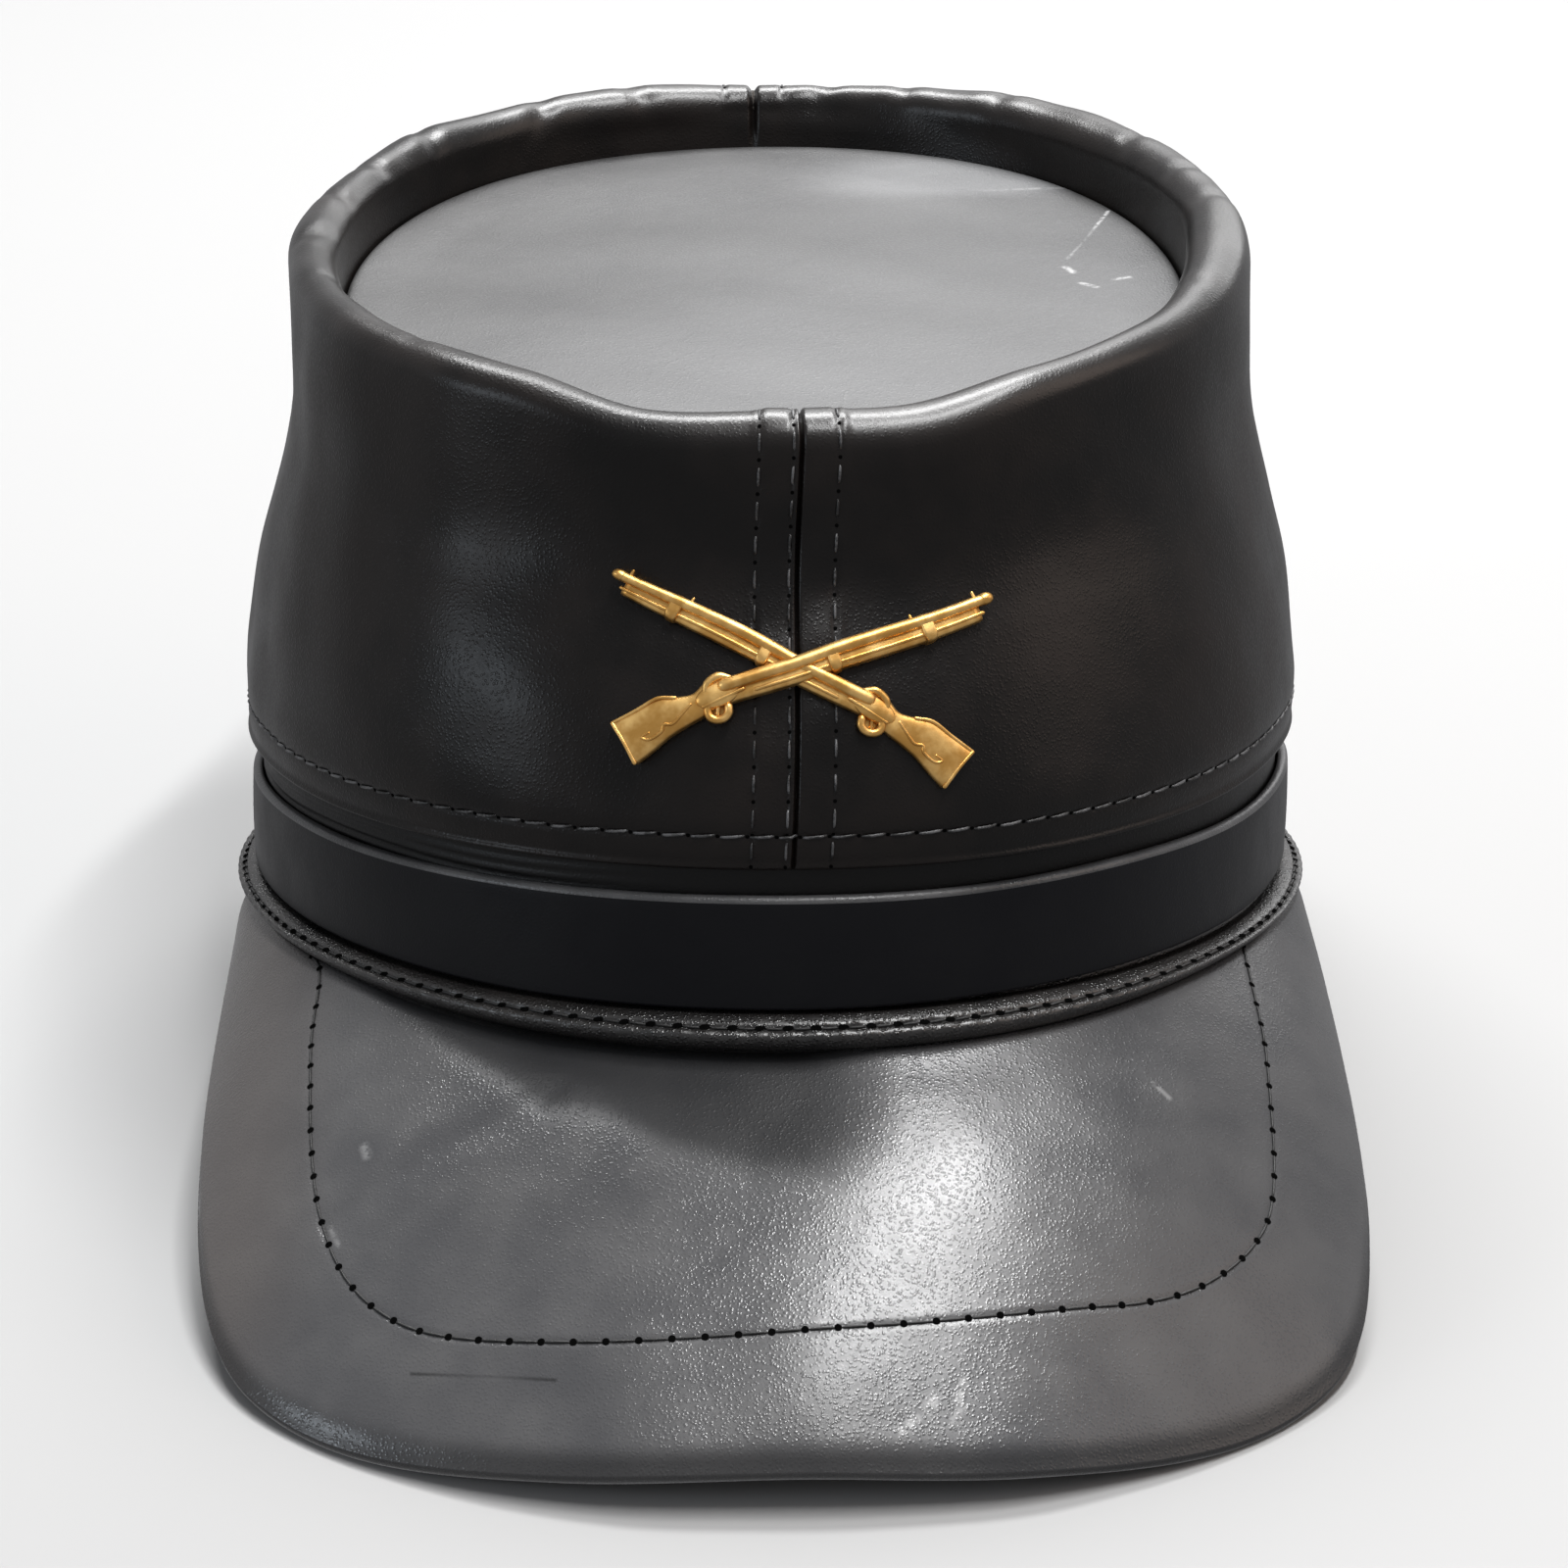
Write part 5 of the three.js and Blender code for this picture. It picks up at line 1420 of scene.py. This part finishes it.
def post(hand):
    """The pin behind a rifle's lock, through the leather and the clutch."""
    ends = on_badge(np.array([(-POST_SPACING, 0, 0.85), (-POST_SPACING, 0, -1.0)]), hand, 0.0)
    way = unit(ends[1] - ends[0])
    depth = np.array([0, 0.5, 5.2, 5.43, 5.43])
    centre = ends[0] + way * depth[:, None]
    girth = POST_RADIUS * np.array([1, 1, 1, 0.8, 0.0])
    tangent = np.broadcast_to(way, centre.shape)
    up = np.broadcast_to([0, 0, 1.0], centre.shape)
    return rings_round(centre, tangent, up, girth, 20), tube_faces(1, 5, 20)


def brass_piece(name, parts, replaces):
    """One object from many closed forms, each turned so that its faces point outward."""
    points = [part.reshape(-1, 3) for part, _ in parts]
    quads = [quad for _, quad in parts]
    quads = [q if signed_volume(p, q) > 0 else q[:, ::-1] for p, q in zip(points, quads)]
    shift = np.cumsum([0] + [len(p) for p in points[:-1]])
    together = np.concatenate([q + offset for q, offset in zip(quads, shift)])
    make_piece(name, np.concatenate(points), together, [BRASS], replaces)


brass_piece("crossed_rifles", [*rifle(1), *rifle(-1), post(1), post(-1)], ["badge"])

# %% Brass finish on the clutches, which keep their CAD shape
for name in ("badge_clutch_left", "badge_clutch_right"):
    nodes[name].data.materials.clear()
    nodes[name].data.materials.append(BRASS)

# %% [markdown]
# The photograph was taken from the front, a little above. The camera's place was worked out in the cap's
# own frame from the outlines in the photograph, so it is given there and then turned with the cap.

# %% Camera
CAMERA_DISTANCE = 650.0
CAMERA_ELEVATION = np.radians(13.7)
CAMERA_YAW = np.radians(-1.5)
CAMERA_TARGET = np.array([0.0, 0.0, 14.0])
FOCAL_PIXELS = 3990.0
PICTURE = 1600.0
MIDDLE_COLUMN = 785.0


def make_camera():
    """The camera, aimed at a point of the cap's own axis and shifted as the picture is cropped."""
    back = np.array([
        np.sin(CAMERA_YAW) * np.cos(CAMERA_ELEVATION),
        -np.cos(CAMERA_YAW) * np.cos(CAMERA_ELEVATION),
        np.sin(CAMERA_ELEVATION),
    ])
    right = unit(np.cross(-back, [0, 0, 1.0]))
    up = np.cross(right, -back)
    camera = bpy.data.cameras.new("photo_camera")
    camera.sensor_width = 36.0
    camera.lens = FOCAL_PIXELS / PICTURE * camera.sensor_width
    camera.shift_x = (PICTURE / 2 - MIDDLE_COLUMN) / PICTURE
    camera.clip_start = 0.01
    seat = bpy.data.objects.new("photo_camera", camera)
    scene.collection.objects.link(seat)
    matrix = np.eye(4)
    matrix[:3, :3] = turned(np.array([right, up, back])).T
    matrix[:3, 3] = place(CAMERA_TARGET + CAMERA_DISTANCE * back)
    seat.matrix_world = matrix.T
    scene.camera = seat
    print("camera at", matrix[:3, 3].round(3), "lens", round(camera.lens, 2))


make_camera()

# %% Floor
def make_floor():
    """A plain pale round floor, 4 m across, at the height of the surface that the cap rests on. In the
    photograph the leather's edges mirror no pale ground, so the floor is kept out of the gloss."""
    turn = np.linspace(0, 2 * np.pi, 65)[:-1]
    ring = np.stack([2 * np.sin(turn), 2 * np.cos(turn), np.zeros(64)], -1)
    mesh = bpy.data.meshes.new("floor")
    mesh.from_pydata(ring.tolist(), [], [list(range(64))[::-1]])
    bench = Bench("pale_floor")
    mesh.materials.append(bench.finish(Base_Color=(0.3, 0.3, 0.3, 1), Roughness=0.9, Specular_IOR_Level=0.1))
    floor = bpy.data.objects.new("floor", mesh)
    floor.visible_glossy = False
    scene.collection.objects.link(floor)


make_floor()


# %% Light from a ceiling, two strips, two walls and a window
def make_light(name, place, aim, size, power, colour=(1, 1, 1), along=(0, 1.0, 0.001)):
    """A soft rectangular light at a place in metres, aimed at a point, its second side along a direction."""
    lamp = bpy.data.lights.new(name, "AREA")
    lamp.shape = "RECTANGLE"
    lamp.size, lamp.size_y = size
    lamp.energy = power
    lamp.color = colour
    seat = bpy.data.objects.new(name, lamp)
    scene.collection.objects.link(seat)
    back = unit(np.array(place) - np.array(aim))
    right = unit(np.cross(along, back))
    matrix = np.eye(4)
    matrix[:3, :3] = np.array([right, np.cross(back, right), back]).T
    matrix[:3, 3] = place
    seat.matrix_world = matrix.T


make_light("ceiling", (-0.05, 0.95, 1.5), (0, 0.1, 0), (1.1, 0.5), 53)
make_light("strip", (0.29, -0.06, 1.3), (0.29, -0.06, 0), (0.064, 0.95), 18.5, along=(0.3, 0.9, 0))
make_light("short_strip", (0.38, 0.16, 1.3), (0.38, 0.16, 0), (0.08, 0.3), 4, along=(0.3, 0.9, 0))
make_light("back_wall", (0.7, 2.0, 1.0), (0, 0, 0.05), (1.8, 1.0), 14)
make_light("left_window", (-1.41, -0.59, 0.53), (0, 0, 0.06), (0.35, 0.35), 3.6, (0.82, 0.91, 1.0))
make_light("right_wall", (1.5, -0.2, 1.05), (0, 0, 0.08), (1.2, 1.0), 6.0, (1.0, 0.8, 0.68))

world = bpy.data.worlds.new("room")
world.use_nodes = True
world.node_tree.nodes["Background"].inputs[0].default_value = (0.38, 0.38, 0.388, 1)
scene.world = world
scene.view_settings.view_transform = "Standard"
